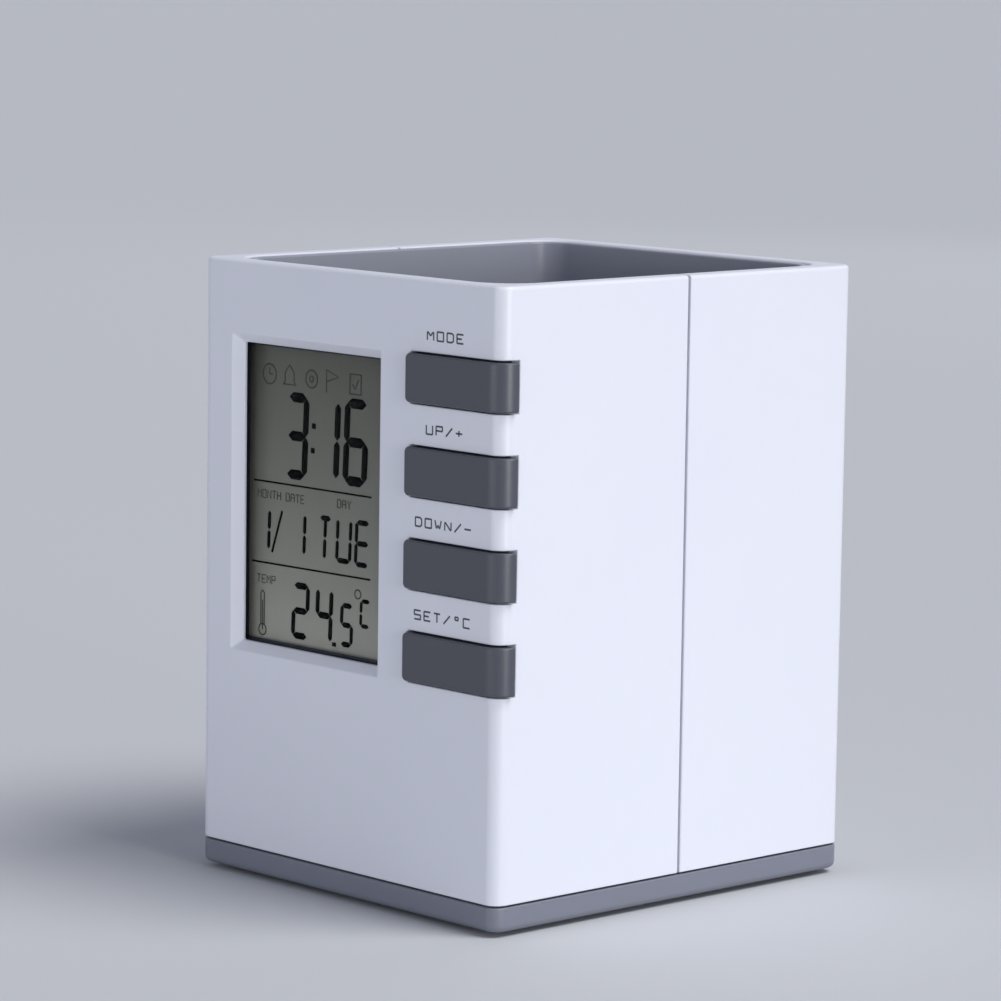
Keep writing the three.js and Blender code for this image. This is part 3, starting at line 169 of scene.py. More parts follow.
@dataclass(frozen=True)
class Span:
    """The box of a CAD node, in millimetres about the body's centre line."""

    low: Vector
    high: Vector

    @classmethod
    def of(cls, node: str) -> "Span":
        """Reads the box of one CAD node.

        Args:
            node: The node's name.

        Returns:
            Its box.
        """
        low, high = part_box(node)
        return cls((low - CENTRE) / MM, (high - CENTRE) / MM)

    @property
    def middle(self) -> Vector:
        """The centre of the box."""
        return (self.low + self.high) / 2

    @property
    def size(self) -> Vector:
        """The box's three lengths."""
        return self.high - self.low

    @property
    def plan(self) -> Point:
        """The centre in X and Y."""
        return (self.middle.x, self.middle.y)

    @property
    def face(self) -> Point:
        """The centre in X and Z."""
        return (self.middle.x, self.middle.z)

    def front_outline(self, across: float, up: float, radius: float) -> Line:
        """Draws the box's front with round corners, set in by a margin across and one up."""
        left, right, low, high = self.low.x + across, self.high.x - across, self.low.z + up, self.high.z - up
        return rounded_outline(left, right, low, high, radius, SMALL_ARC_STEPS)


class Along(Enum):
    """The axis that an outline is carried along: the places of its own two axes, then of its length."""

    X = (1, 2, 0)
    Y = (0, 2, 1)
    Z = (0, 1, 2)

    def place(self, point: Point, level: float) -> Vector:
        """Gives an outline's point at a level as a point of the body."""
        spots = dict(zip(self.value, (*point, level)))
        return Vector([spots[axis] for axis in range(3)])


def rounded_outline(
    left: float, right: float, low: float, high: float, radius: float, steps: int = ARC_STEPS
) -> Line:
    """Draws a rectangle with round corners.

    Args:
        left: Lowest first coordinate.
        right: Highest first coordinate.
        low: Lowest second coordinate.
        high: Highest second coordinate.
        radius: Corner radius.
        steps: Steps in each corner.

    Returns:
        Its points, counter-clockwise.
    """
    centres = (
        (right - radius, high - radius),
        (left + radius, high - radius),
        (left + radius, low + radius),
        (right - radius, low + radius),
    )
    points = []
    for quarter, (across, up) in enumerate(centres):
        for step in range(steps + 1):
            angle = (quarter + step / steps) * math.pi / 2
            points.append((across + radius * math.cos(angle), up + radius * math.sin(angle)))
    return points


def centred_outline(half_width: float, half_depth: float, radius: float, steps: int = ARC_STEPS) -> Line:
    """Draws a rectangle with round corners about the origin."""
    return rounded_outline(-half_width, half_width, -half_depth, half_depth, radius, steps)


def circle(centre: Point, radius: float, steps: int) -> Line:
    """Draws the points of a circle.

    Args:
        centre: Its middle.
        radius: Its radius.
        steps: How many points it has.

    Returns:
        The points in order.
    """
    turn = 2 * math.pi / steps
    return [
        (centre[0] + radius * math.cos(step * turn), centre[1] + radius * math.sin(step * turn))
        for step in range(steps)
    ]


def merge_doubles(made: bmesh.types.BMesh) -> None:
    """Merges double points and makes flat faces whole."""
    bmesh.ops.remove_doubles(made, verts=made.verts, dist=MERGE_DISTANCE)
    bmesh.ops.dissolve_limit(made, angle_limit=FLAT_ANGLE, verts=made.verts, edges=made.edges)


def evaluated_mesh(owner: bpy.types.Object) -> Mesh:
    """Gives an object's mesh with its modifiers applied, and removes the object.

    Args:
        owner: A linked object with live modifiers.

    Returns:
        A new plain mesh.
    """
    bpy.context.view_layer.update()
    graph = bpy.context.evaluated_depsgraph_get()
    mesh = bpy.data.meshes.new_from_object(
        owner.evaluated_get(graph), preserve_all_data_layers=True, depsgraph=graph
    )
    bpy.data.objects.remove(owner)
    return mesh


def linked_object(name: str, data: bpy.types.ID) -> bpy.types.Object:
    """Makes an object for a mesh, light or camera and links it to the scene.

    Args:
        name: The object's name.
        data: What it shows.

    Returns:
        The object.
    """
    made = bpy.data.objects.new(name, data)
    bpy.context.scene.collection.objects.link(made)
    return made


def opened(*meshes: Mesh) -> bmesh.types.BMesh:
    """Loads meshes that don't touch each other into one bmesh.

    Args:
        meshes: The meshes.

    Returns:
        The bmesh, to work on.
    """
    made = bmesh.new()
    for mesh in meshes:
        made.from_mesh(mesh)
    return made


class Solid:
    """A closed mesh in millimetres, with the joins, cuts and edge roundings that a moulding gets."""

    def __init__(self, made: bmesh.types.BMesh) -> None:
        """Keeps a bmesh as a plain mesh and frees it.

        Args:
            made: The bmesh.
        """
        self.mesh = bpy.data.meshes.new("solid")
        made.to_mesh(self.mesh)
        made.free()

    @classmethod
    def from_mesh(cls, mesh: Mesh) -> "Solid":
        """Wraps a mesh that is in millimetres already."""
        return cls(opened(mesh))

    @classmethod
    def loft(cls, sections: Sequence[tuple[Sequence[Point], float]], along: Along) -> "Solid":
        """Joins outlines at several levels into one closed solid.

        Args:
            sections: Outlines with equal numbers of points, each with its level.
            along: The axis of the levels.

        Returns:
            The solid.
        """
        made = bmesh.new()
        rings = [
            [made.verts.new(along.place(point, level)) for point in outline] for outline, level in sections
        ]
        made.faces.new(rings[0])
        made.faces.new(rings[-1])
        for lower, upper in zip(rings, rings[1:]):
            for index, corner in enumerate(lower):
                after = (index + 1) % len(lower)
                made.faces.new((corner, lower[after], upper[after], upper[index]))
        bmesh.ops.recalc_face_normals(made, faces=made.faces)
        return cls(made)

    @classmethod
    def prism(cls, outline: Sequence[Point], low: float, high: float, along: Along) -> "Solid":
        """Carries one outline from a low to a high level."""
        return cls.loft(((outline, low), (outline, high)), along)

    @classmethod
    def block(
        cls, left: float, right: float, near: float, far: float, low: float, high: float
    ) -> "Solid":
        """Makes a block from its six faces."""
        corners = ((left, near), (right, near), (right, far), (left, far))
        return cls.prism(corners, low, high, Along.Z)

    @classmethod
    def rod(cls, radius: float, centre: Point, low: float, high: float, along: Along) -> "Solid":
        """Makes a round rod about a centre line."""
        return cls.prism(circle(centre, radius, ROD_SIDES), low, high, along)

    @classmethod
    def rods(
        cls, radius: float, centres: Iterable[Point], low: float, high: float, along: Along
    ) -> "Solid":
        """Makes equal rods that stand clear of each other."""
        return cls.gathered(cls.rod(radius, centre, low, high, along) for centre in centres)

    @classmethod
    def turned(
        cls, profile: Sequence[Point], foot: Vector, axis: Vector, sides: int = ROD_SIDES
    ) -> "Solid":
        """Turns a profile about an axis.

        Args:
            profile: Radius and height pairs, from the axis at the foot to the axis at the head.
            foot: Where height zero lies.
            axis: The way that height grows.
            sides: Steps round the axis.

        Returns:
            The solid.
        """
        made = bmesh.new()
        rings = []
        for radius, height in profile:
            points = circle((0.0, 0.0), radius, sides if radius else 1)
            rings.append([made.verts.new((*point, height)) for point in points])
        for lower, upper in zip(rings, rings[1:]):
            for step in range(sides):
                after = step + 1
                ring = (
                    lower[step % len(lower)], lower[after % len(lower)],
                    upper[after % len(upper)], upper[step % len(upper)],
                )
                corners = list(dict.fromkeys(ring))
                if len(corners) > 2:
                    made.faces.new(corners)
        turn_to_axis = axis.normalized().to_track_quat("Z", "Y").to_matrix().to_4x4()
        made.transform(Matrix.Translation(foot) @ turn_to_axis)
        bmesh.ops.recalc_face_normals(made, faces=made.faces)
        return cls(made)

    @classmethod
    def of_node(cls, node: str) -> "Solid":
        """Copies a CAD node's mesh with its loose triangles merged and its flat faces made whole.

        Args:
            node: The node's name.

        Returns:
            The copy, in millimetres.
        """
        made = opened(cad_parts[node].data)
        made.transform(TO_FRAME.inverted())
        merge_doubles(made)
        return cls(made)

    @classmethod
    def gathered(cls, solids: Iterable["Solid"]) -> "Solid":
        """Puts solids that don't touch each other into one mesh."""
        return cls(opened(*(solid.mesh for solid in solids)))

    def _combined(self, tools: Iterable["Solid"], operation: str) -> "Solid":
        """Runs exact booleans one after the other.

        Args:
            tools: The other solids.
            operation: The modifier's name for the step.

        Returns:
            The result.
        """
        owner = linked_object("work", self.mesh)
        helpers = [linked_object("tool", tool.mesh) for tool in tools]
        for helper in helpers:
            step = owner.modifiers.new("step", "BOOLEAN")
            step.operation = operation
            step.solver = "EXACT"
            step.object = helper
        mesh = evaluated_mesh(owner)
        for helper in helpers:
            bpy.data.objects.remove(helper)
        return Solid.from_mesh(mesh)

    def join(self, *tools: "Solid") -> "Solid":
        """Joins other solids to this one."""
        return self._combined(tools, "UNION")

    def cut(self, *tools: "Solid") -> "Solid":
        """Cuts other solids out of this one."""
        return self._combined(tools, "DIFFERENCE")

    def meet(self, *tools: "Solid") -> "Solid":
        """Keeps what lies inside this one and each other solid."""
        return self._combined(tools, "INTERSECT")

    def soften(self, rule: Rounding | float, steps: int = 3) -> "Solid":
        """Rounds edges, each to its own radius.

        Args:
            rule: One radius for all edges, or the radius for an edge by its middle point.
            steps: Steps in each rounding.

        Returns:
            The rounded solid.
        """
        made = opened(self.mesh)
        merge_doubles(made)
        weight = made.edges.layers.float.new("bevel_weight_edge")
        radii = {}
        for edge in made.edges:
            if len(edge.link_faces) == 2 and edge.calc_face_angle() > SOFT_ANGLE:
                middle = (edge.verts[0].co + edge.verts[1].co) / 2
                radii[edge] = rule(middle) if callable(rule) else rule
        widest = max(radii.values(), default=0.0)
        for edge, radius in radii.items():
            edge[weight] = radius / widest if widest else 0.0
        owner = linked_object("work", Solid(made).mesh)
        bevel = owner.modifiers.new("rounding", "BEVEL")
        bevel.limit_method = "WEIGHT"
        bevel.width = widest
        bevel.segments = steps
        bevel.use_clamp_overlap = False
        return Solid.from_mesh(evaluated_mesh(owner))

    def turned_by(self, matrix: Matrix) -> "Solid":
        """Moves or turns the solid by a matrix.

        Args:
            matrix: The matrix.

        Returns:
            A new solid.
        """
        made = opened(self.mesh)
        made.transform(matrix)
        return Solid(made)

    def shaded(self) -> Mesh:
        """Gives a mesh with smooth faces, sharp creases and normals that keep the large faces flat.

        Returns:
            The mesh.
        """
        made = opened(self.mesh)
        for face in made.faces:
            face.smooth = True
        for edge in made.edges:
            edge.smooth = len(edge.link_faces) == 2 and edge.calc_face_angle() < SHARP_ANGLE
        owner = linked_object("work", Solid(made).mesh)
        normals = owner.modifiers.new("normals", "WEIGHTED_NORMAL")
        normals.keep_sharp = True
        return evaluated_mesh(owner)

    def piece(
        self, name: str, finish: Material, slot: str | None = None, nodes: Sequence[str] = (),
        body: str = CASE,
    ) -> bpy.types.Object:
        """Turns the solid into a finished piece of the clock, in the frame.

        Args:
            name: The piece's name.
            finish: Its material.
            slot: The record's material slot, if it has one.
            nodes: The CAD nodes that it stands for.
            body: The body that it rides on.

        Returns:
            The piece.
        """
        mesh = self.shaded()
        mesh.transform(TO_FRAME)
        return dressed(name, mesh, finish, slot, nodes, body)


def dressed(
    name: str, mesh: Mesh, finish: Material, slot: str | None = None, nodes: Sequence[str] = (),
    body: str = CASE,
) -> bpy.types.Object:
    """Makes an object of a mesh that is in the frame, puts it on its body and hides the CAD nodes that it
    stands for.

    Args:
        name: The piece's name.
        mesh: Its mesh, in metres.
        finish: Its material.
        slot: The record's material slot, if it has one; not used.
        nodes: The CAD nodes that it stands for.
        body: The body that it rides on.

    Returns:
        The piece.
    """
    mesh.name = name
    mesh.materials.clear()
    mesh.materials.append(finish)
    made = linked_object(name, mesh)
    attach(made, body)
    if nodes:
        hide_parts(*nodes)
    LOG.info("%s: %d faces on %s, for %s", name, len(mesh.polygons), body, list(nodes) or "no node")
    return made


def plan_depth(point: Vector, half_width: float, half_depth: float, radius: float) -> float:
    """Gives how far a point lies inside an upright box with round corners.

    Args:
        point: The point.
        half_width: Half of the box along X.
        half_depth: Half of the box along Y.
        radius: The corner radius.

    Returns:
        The distance to the box's side, above zero inside it.
    """
    across = abs(point.x) - half_width + radius
    along = abs(point.y) - half_depth + radius
    outside = math.hypot(max(across, 0.0), max(along, 0.0))
    return radius - outside - min(max(across, along), 0.0)


def linear(hex_colour: str) -> tuple[float, float, float, float]:
    """Turns an sRGB hex value into linear colour.

    Args:
        hex_colour: Six hex digits.

    Returns:
        Red, green, blue and alpha.
    """
    parts = [int(hex_colour[start:start + 2], 16) / 255 for start in (0, 2, 4)]
    red, green, blue = [
        part / 12.92 if part <= 0.04045 else ((part + 0.055) / 1.055) ** 2.4 for part in parts
    ]
    return (red, green, blue, 1.0)


def add_node(
    tree: Tree, kind: str, inputs: Inputs | None = None, **settings: object
) -> bpy.types.Node:
    """Adds a node with its settings and links.

    Args:
        tree: The tree that it goes into.
        kind: The node's type.
        inputs: Values or output sockets, by the name or number of the input.
        **settings: The node's own properties.

    Returns:
        The node.
    """
    node = tree.nodes.new(kind)
    for name, value in settings.items():
        setattr(node, name, value)
    for key, value in (inputs or {}).items():
        if isinstance(value, Socket):
            tree.links.new(value, node.inputs[key])
        else:
            node.inputs[key].default_value = value
    return node


def per_mm(size: float) -> float:
    """Gives the texture scale, per metre, of a pattern whose features are so many millimetres wide."""
    return 1 / (size * MM)


def noise(tree: Tree, place: Socket, size: float, detail: float = 2.0, roughness: float = 0.5) -> Socket:
    """Adds a noise texture.

    Args:
        tree: The material's tree.
        place: Its coordinates.
        size: How wide its features are, in millimetres.
        detail: How many finer layers it has.
        roughness: How strong those are.

    Returns:
        The noise, from 0 to 1.
    """
    return add_node(tree, "ShaderNodeTexNoise", {
        "Vector": place, "Scale": per_mm(size), "Detail": detail, "Roughness": roughness,
    }).outputs["Fac"]


def share_of(tree: Tree, value: Socket, low: float, high: float) -> Socket:
    """Turns a value between two limits into a share from 0 to 1."""
    limits = {"Value": value, "From Min": low, "From Max": high}
    return add_node(tree, "ShaderNodeMapRange", limits).outputs["Result"]


def spread(tree: Tree, share: Socket, low: float, high: float) -> Socket:
    """Spreads a share from 0 to 1 between two limits."""
    limits = {"Value": share, "To Min": low, "To Max": high}
    return add_node(tree, "ShaderNodeMapRange", limits).outputs["Result"]


def blend(tree: Tree, share: Socket, first: str, second: str) -> Socket:
    """Blends from one hex colour to another by a share. The mix node's colours are its sockets 6 and 7."""
    colours = {0: share, 6: linear(first), 7: linear(second)}
    return add_node(tree, "ShaderNodeMix", colours, data_type="RGBA").outputs[2]


def bump(tree: Tree, height: Socket, depth: float, strength: float = 1.0) -> Socket:
    """Raises a pattern by a depth in millimetres, as a normal."""
    raised = {"Height": height, "Distance": depth * MM, "Strength": strength}
    return add_node(tree, "ShaderNodeBump", raised).outputs["Normal"]


@dataclass(frozen=True)
class Finish:
    """A material made of nodes in object coordinates, with one shader."""

    name: str

    def build(self) -> Material:
        """Makes the material.

        Returns:
            The material.
        """
        material = bpy.data.materials.new(self.name)
        material.use_nodes = True
        tree = material.node_tree
        tree.nodes.clear()
        place = add_node(tree, "ShaderNodeTexCoord").outputs["Object"]
        shader = add_node(tree, "ShaderNodeBsdfPrincipled", self.inputs(tree, place))
        add_node(tree, "ShaderNodeOutputMaterial", {"Surface": shader.outputs["BSDF"]})
        return material

    def inputs(self, tree: Tree, place: Socket) -> Inputs:
        """Gives what goes into the shader, and adds the nodes behind it.

        Args:
            tree: The material's tree.
            place: Where a point lies on the piece.

        Returns:
            The shader's inputs by name.
        """
        raise NotImplementedError


@dataclass(frozen=True)
class Moulded(Finish):
    """A moulded or cast plastic: a fine grain from the tool, and a faint drift of colour and gloss."""

    colour: str
    drift: str
    roughness: float
    grain: float = 0.45
    grain_detail: float = 0.55
    grain_depth: float = 0.012
    drift_size: float = 28.0
    gloss_swing: float = 0.05
    ior: float = 1.53
    coat: float = 0.0
    specular: float = 0.5

    def inputs(self, tree: Tree, place: Socket) -> Inputs:
        """Lays the drift, the grain and its bumps over the plastic's colour.

        Args:
            tree: The material's tree.
            place: Where a point lies on the piece.

        Returns:
            The shader's inputs by name.
        """
        flow = noise(tree, place, self.drift_size, detail=3.0)
        grain = noise(tree, place, self.grain, roughness=self.grain_detail)
        low, high = self.roughness - self.gloss_swing, self.roughness + self.gloss_swing
        return {
            "Base Color": blend(tree, flow, self.colour, self.drift),
            "Roughness": spread(tree, grain, low, high), "IOR": self.ior, "Coat Weight": self.coat,
            "Specular IOR Level": self.specular, "Normal": bump(tree, grain, self.grain_depth),
        }


@dataclass(frozen=True)
class Clear(Finish):
    """A clear sheet: mostly see-through, with faint polishing haze in its gloss."""

    colour: str
    alpha: float
    roughness: float
    ior: float
    haze: float = 6.0

    def inputs(self, tree: Tree, place: Socket) -> Inputs:
        """Breaks the gloss of the sheet up with haze."""
        haze = spread(tree, noise(tree, place, self.haze), self.roughness, self.roughness * 2)
        return {"Base Color": linear(self.colour), "IOR": self.ior, "Alpha": self.alpha, "Roughness": haze}


@dataclass(frozen=True)
class PaintedShadePolariser(Finish):
    """Glass with a reflective polariser behind it: grey green, with painted shade that darkens it towards
    the top, so it is paler towards the lower edge.
    """

    shaded_top_colour: str
    lit_foot_colour: str
    low: float
    high: float
    roughness: float = 0.28
    speckle: float = 0.3
    speckle_swing: float = 0.08
    shade_curve_power: float = 0.4

    def inputs(self, tree: Tree, place: Socket) -> Inputs:
        """Paints shade onto the colour, darkest at the top and palest at the foot, with a fine speckle.

        Args:
            tree: The material's tree.
            place: Where a point lies on the piece.

        Returns:
            The shader's inputs by name.
        """
        # Painted shade: the colour darkens with height up the glass, standing in for shadow and reflection
        split = add_node(tree, "ShaderNodeSeparateXYZ", {"Vector": place})
        height = share_of(tree, split.outputs["Z"], self.low * MM, self.high * MM)
        bent = add_node(tree, "ShaderNodeMath", {0: height, 1: self.shade_curve_power}, operation="POWER")
        painted_shade_colour = blend(tree, bent.outputs["Value"], self.lit_foot_colour, self.shaded_top_colour)
        swing = self.speckle_swing
        amount = spread(tree, noise(tree, place, self.speckle), 1 - swing, 1 + swing)
        colour = add_node(tree, "ShaderNodeVectorMath", {0: painted_shade_colour, "Scale": amount}, operation="SCALE")
        return {"Base Color": colour.outputs["Vector"], "Roughness": self.roughness}


@dataclass(frozen=True)
class Metal(Finish):
    """A plated or drawn metal: fine lines along one axis break up the gloss."""

    colour: str
    shade: str
    roughness: float
    line: float = 0.12
    line_depth: float = 0.003
    line_strength: float = 0.6
    gloss_share: float = 0.3
    stretch: tuple[float, float, float] = (0.08, 1.0, 1.0)

    def inputs(self, tree: Tree, place: Socket) -> Inputs:
        """Draws the lines along the metal.

        Args:
            tree: The material's tree.
            place: Where a point lies on the piece.

        Returns:
            The shader's inputs by name.
        """
        drawn = add_node(tree, "ShaderNodeMapping", {"Vector": place, "Scale": self.stretch})
        lines = noise(tree, drawn.outputs["Vector"], self.line, detail=3.0)
        low, high = self.roughness * (1 - self.gloss_share), self.roughness * (1 + self.gloss_share)
        return {
            "Base Color": blend(tree, lines, self.colour, self.shade), "Metallic": 1.0,
            "Roughness": spread(tree, lines, low, high),
            "Normal": bump(tree, lines, self.line_depth, self.line_strength),
        }


@dataclass(frozen=True)
class SolderMask(Finish):
    """A glass fibre board under green solder mask, with tracks that show as paler raised lines."""

    name: str = "green_solder_mask_on_fibreglass"
    mask: str = "155230"
    track: str = "2a7446"
    pitch: float = 2.54
    track_share: float = 0.2
    track_depth: float = 0.03
    track_strength: float = 0.8
    roughness: float = 0.35
    ior: float = 1.5

    def inputs(self, tree: Tree, place: Socket) -> Inputs:
        """Lays the raised tracks over the mask.

        Args:
            tree: The material's tree.
            place: Where a point lies on the piece.

        Returns:
            The shader's inputs by name.
        """
        laid = add_node(tree, "ShaderNodeMapping", {
            "Vector": place, "Rotation": (math.pi / 2, 0.0, 0.0),
        })
        tracks = add_node(tree, "ShaderNodeTexBrick", {
            "Vector": laid.outputs["Vector"], "Scale": per_mm(self.pitch),
            "Mortar Size": self.track_share / 2, "Brick Width": 2.0, "Row Height": 1.0,
            "Color1": linear(self.mask), "Color2": linear(self.mask), "Mortar": linear(self.track),
        })
        return {
            "Base Color": tracks.outputs["Color"], "Roughness": self.roughness, "IOR": self.ior,
            "Normal": bump(tree, tracks.outputs["Fac"], self.track_depth, self.track_strength),
        }


@dataclass(frozen=True)
class CellJacket(Finish):
    """Shrink film on a dry cell: a dark body with a copper coloured band at the positive end."""

    band_from: float
    way: int
    body_colour: str = "23395c"
    band_colour: str = "b9713f"
    fade: float = 0.15
    scuff: float = 1.5
    roughness: float = 0.3
    scuffed_roughness: float = 0.38
    metallic: float = 0.35

    def inputs(self, tree: Tree, place: Socket) -> Inputs:
        """Puts the band on the body, with scuffs in the gloss.

        Args:
            tree: The material's tree.
            place: Where a point lies on the piece.

        Returns:
            The shader's inputs by name.
        """
        split = add_node(tree, "ShaderNodeSeparateXYZ", {"Vector": place})
        band_to = self.band_from + self.way * self.fade
        edge = share_of(tree, split.outputs["X"], self.band_from * MM, band_to * MM)
        scuff = noise(tree, place, self.scuff, detail=4.0)
        return {
            "Base Color": blend(tree, edge, self.body_colour, self.band_colour),
            "Roughness": spread(tree, scuff, self.roughness, self.scuffed_roughness),
            "Metallic": self.metallic,
        }


class GeometryTree:
    """A geometry node tree with named inputs, run on a mesh to give a plain mesh."""

    def __init__(self, name: str, sizes: Sequence[str], parts: Sequence[str] = ()) -> None:
        """Makes the tree with its sockets, the last input being the finish.

        Args:
            name: The tree's name.
            sizes: Its inputs that are numbers.
            parts: Its inputs that are objects.
        """
        self.tree = bpy.data.node_groups.new(name, "GeometryNodeTree")
        face = self.tree.interface
        face.new_socket("Geometry", in_out="INPUT", socket_type="NodeSocketGeometry")
        kinds = {
            **dict.fromkeys(sizes, "NodeSocketFloat"), **dict.fromkeys(parts, "NodeSocketObject"),
            "Finish": "NodeSocketMaterial",
        }
        self.sockets = {
            item: face.new_socket(item, in_out="INPUT", socket_type=kind).identifier
            for item, kind in kinds.items()
        }
        face.new_socket("Geometry", in_out="OUTPUT", socket_type="NodeSocketGeometry")
        self.given = add_node(self.tree, "NodeGroupInput").outputs

    def close(self, geometry: Socket) -> None:
        """Ends the tree in realised instances with their material.

        Args:
            geometry: What comes out of the tree.
        """
        real = add_node(self.tree, "GeometryNodeRealizeInstances", {"Geometry": geometry})
        painted = add_node(self.tree, "GeometryNodeSetMaterial", {
            "Geometry": real.outputs["Geometry"], "Material": self.given["Finish"],
        })
        add_node(self.tree, "NodeGroupOutput", {"Geometry": painted.outputs["Geometry"]})

    def run(self, mesh: Mesh, values: dict[str, object]) -> Mesh:
        """Runs the tree on a mesh.

        Args:
            mesh: What goes in.
            values: The inputs by name.

        Returns:
            What comes out, as a plain mesh.
        """
        owner = linked_object("work", mesh)
        step = owner.modifiers.new("tree", "NODES")
        step.node_group = self.tree
        for name, value in values.items():
            step[self.sockets[name]] = value
        return evaluated_mesh(owner)


class StrokeTree(GeometryTree):
    """Lays a flat bar along each line of a skeleton in the XY plane, narrowed at its ends."""

    def __init__(self) -> None:
        """Builds the tree."""
        super().__init__("stroke_bars", (
            "Bar Width", "Bar Depth", "Point Length", "End Share", "Turn Radius",
        ))
        tree, given = self.tree, self.given
        lines = add_node(tree, "GeometryNodeMeshToCurve", {"Mesh": given["Geometry"]})
        turned = add_node(tree, "GeometryNodeFilletCurve", {
            "Curve": lines.outputs["Curve"], "Radius": given["Turn Radius"],
            "Count": 3, "Limit Radius": True,
        }, mode="POLY")
        level = add_node(tree, "GeometryNodeSetCurveNormal", {"Curve": turned.outputs["Curve"]}, mode="Z_UP")
        along = add_node(tree, "GeometryNodeSplineParameter")
        whole = add_node(tree, "GeometryNodeSplineLength")
        rest = add_node(tree, "ShaderNodeMath", {
            0: whole.outputs["Length"], 1: along.outputs["Length"],
        }, operation="SUBTRACT")
        nearest = add_node(tree, "ShaderNodeMath", {
            0: along.outputs["Length"], 1: rest.outputs["Value"],
        }, operation="MINIMUM")
        width = add_node(tree, "ShaderNodeMapRange", {
            "Value": nearest.outputs["Value"], "From Min": 0.0, "From Max": given["Point Length"],
            "To Min": given["End Share"], "To Max": 1.0,
        })
        section = add_node(tree, "GeometryNodeCurvePrimitiveQuadrilateral", {
            "Width": given["Bar Width"], "Height": given["Bar Depth"],
        })
        bars = add_node(tree, "GeometryNodeCurveToMesh", {
            "Curve": level.outputs["Curve"], "Profile Curve": section.outputs["Curve"],
            "Scale": width.outputs["Result"], "Fill Caps": True,
        })
        self.close(bars.outputs["Mesh"])


class RepeatTree(GeometryTree):
    """Puts one part, turned alike, on each point of a mesh."""

    def __init__(self) -> None:
        """Builds the tree."""
        super().__init__("repeated_parts", (), ("Part",))
        part = add_node(self.tree, "GeometryNodeObjectInfo", {"Object": self.given["Part"]})
        copies = add_node(self.tree, "GeometryNodeInstanceOnPoints", {
            "Points": self.given["Geometry"], "Instance": part.outputs["Geometry"],
        })
        self.close(copies.outputs["Instances"])


class CoilTree(GeometryTree):
    """Winds a round wire into a conical spring along +Z."""

    turn_steps: int = 28
    wire_steps: int = 12

    def __init__(self) -> None:
        """Builds the tree."""
        super().__init__("conical_coil", (
            "Turns", "Wide Radius", "Narrow Radius", "Length", "Wire Radius",
        ))
        wind = add_node(self.tree, "GeometryNodeCurveSpiral", {
            "Resolution": self.turn_steps, "Rotations": self.given["Turns"],
            "Start Radius": self.given["Wide Radius"], "End Radius": self.given["Narrow Radius"],
            "Height": self.given["Length"],
        })
        wire = add_node(self.tree, "GeometryNodeCurvePrimitiveCircle", {
            "Resolution": self.wire_steps, "Radius": self.given["Wire Radius"],
        })
        tube = add_node(self.tree, "GeometryNodeCurveToMesh", {
            "Curve": wind.outputs["Curve"], "Profile Curve": wire.outputs["Curve"], "Fill Caps": True,
        })
        self.close(tube.outputs["Mesh"])


def made_once(finish: Finish) -> Material:
    """Gives a field whose material is made when the finishes are."""
    return field(default_factory=finish.build)


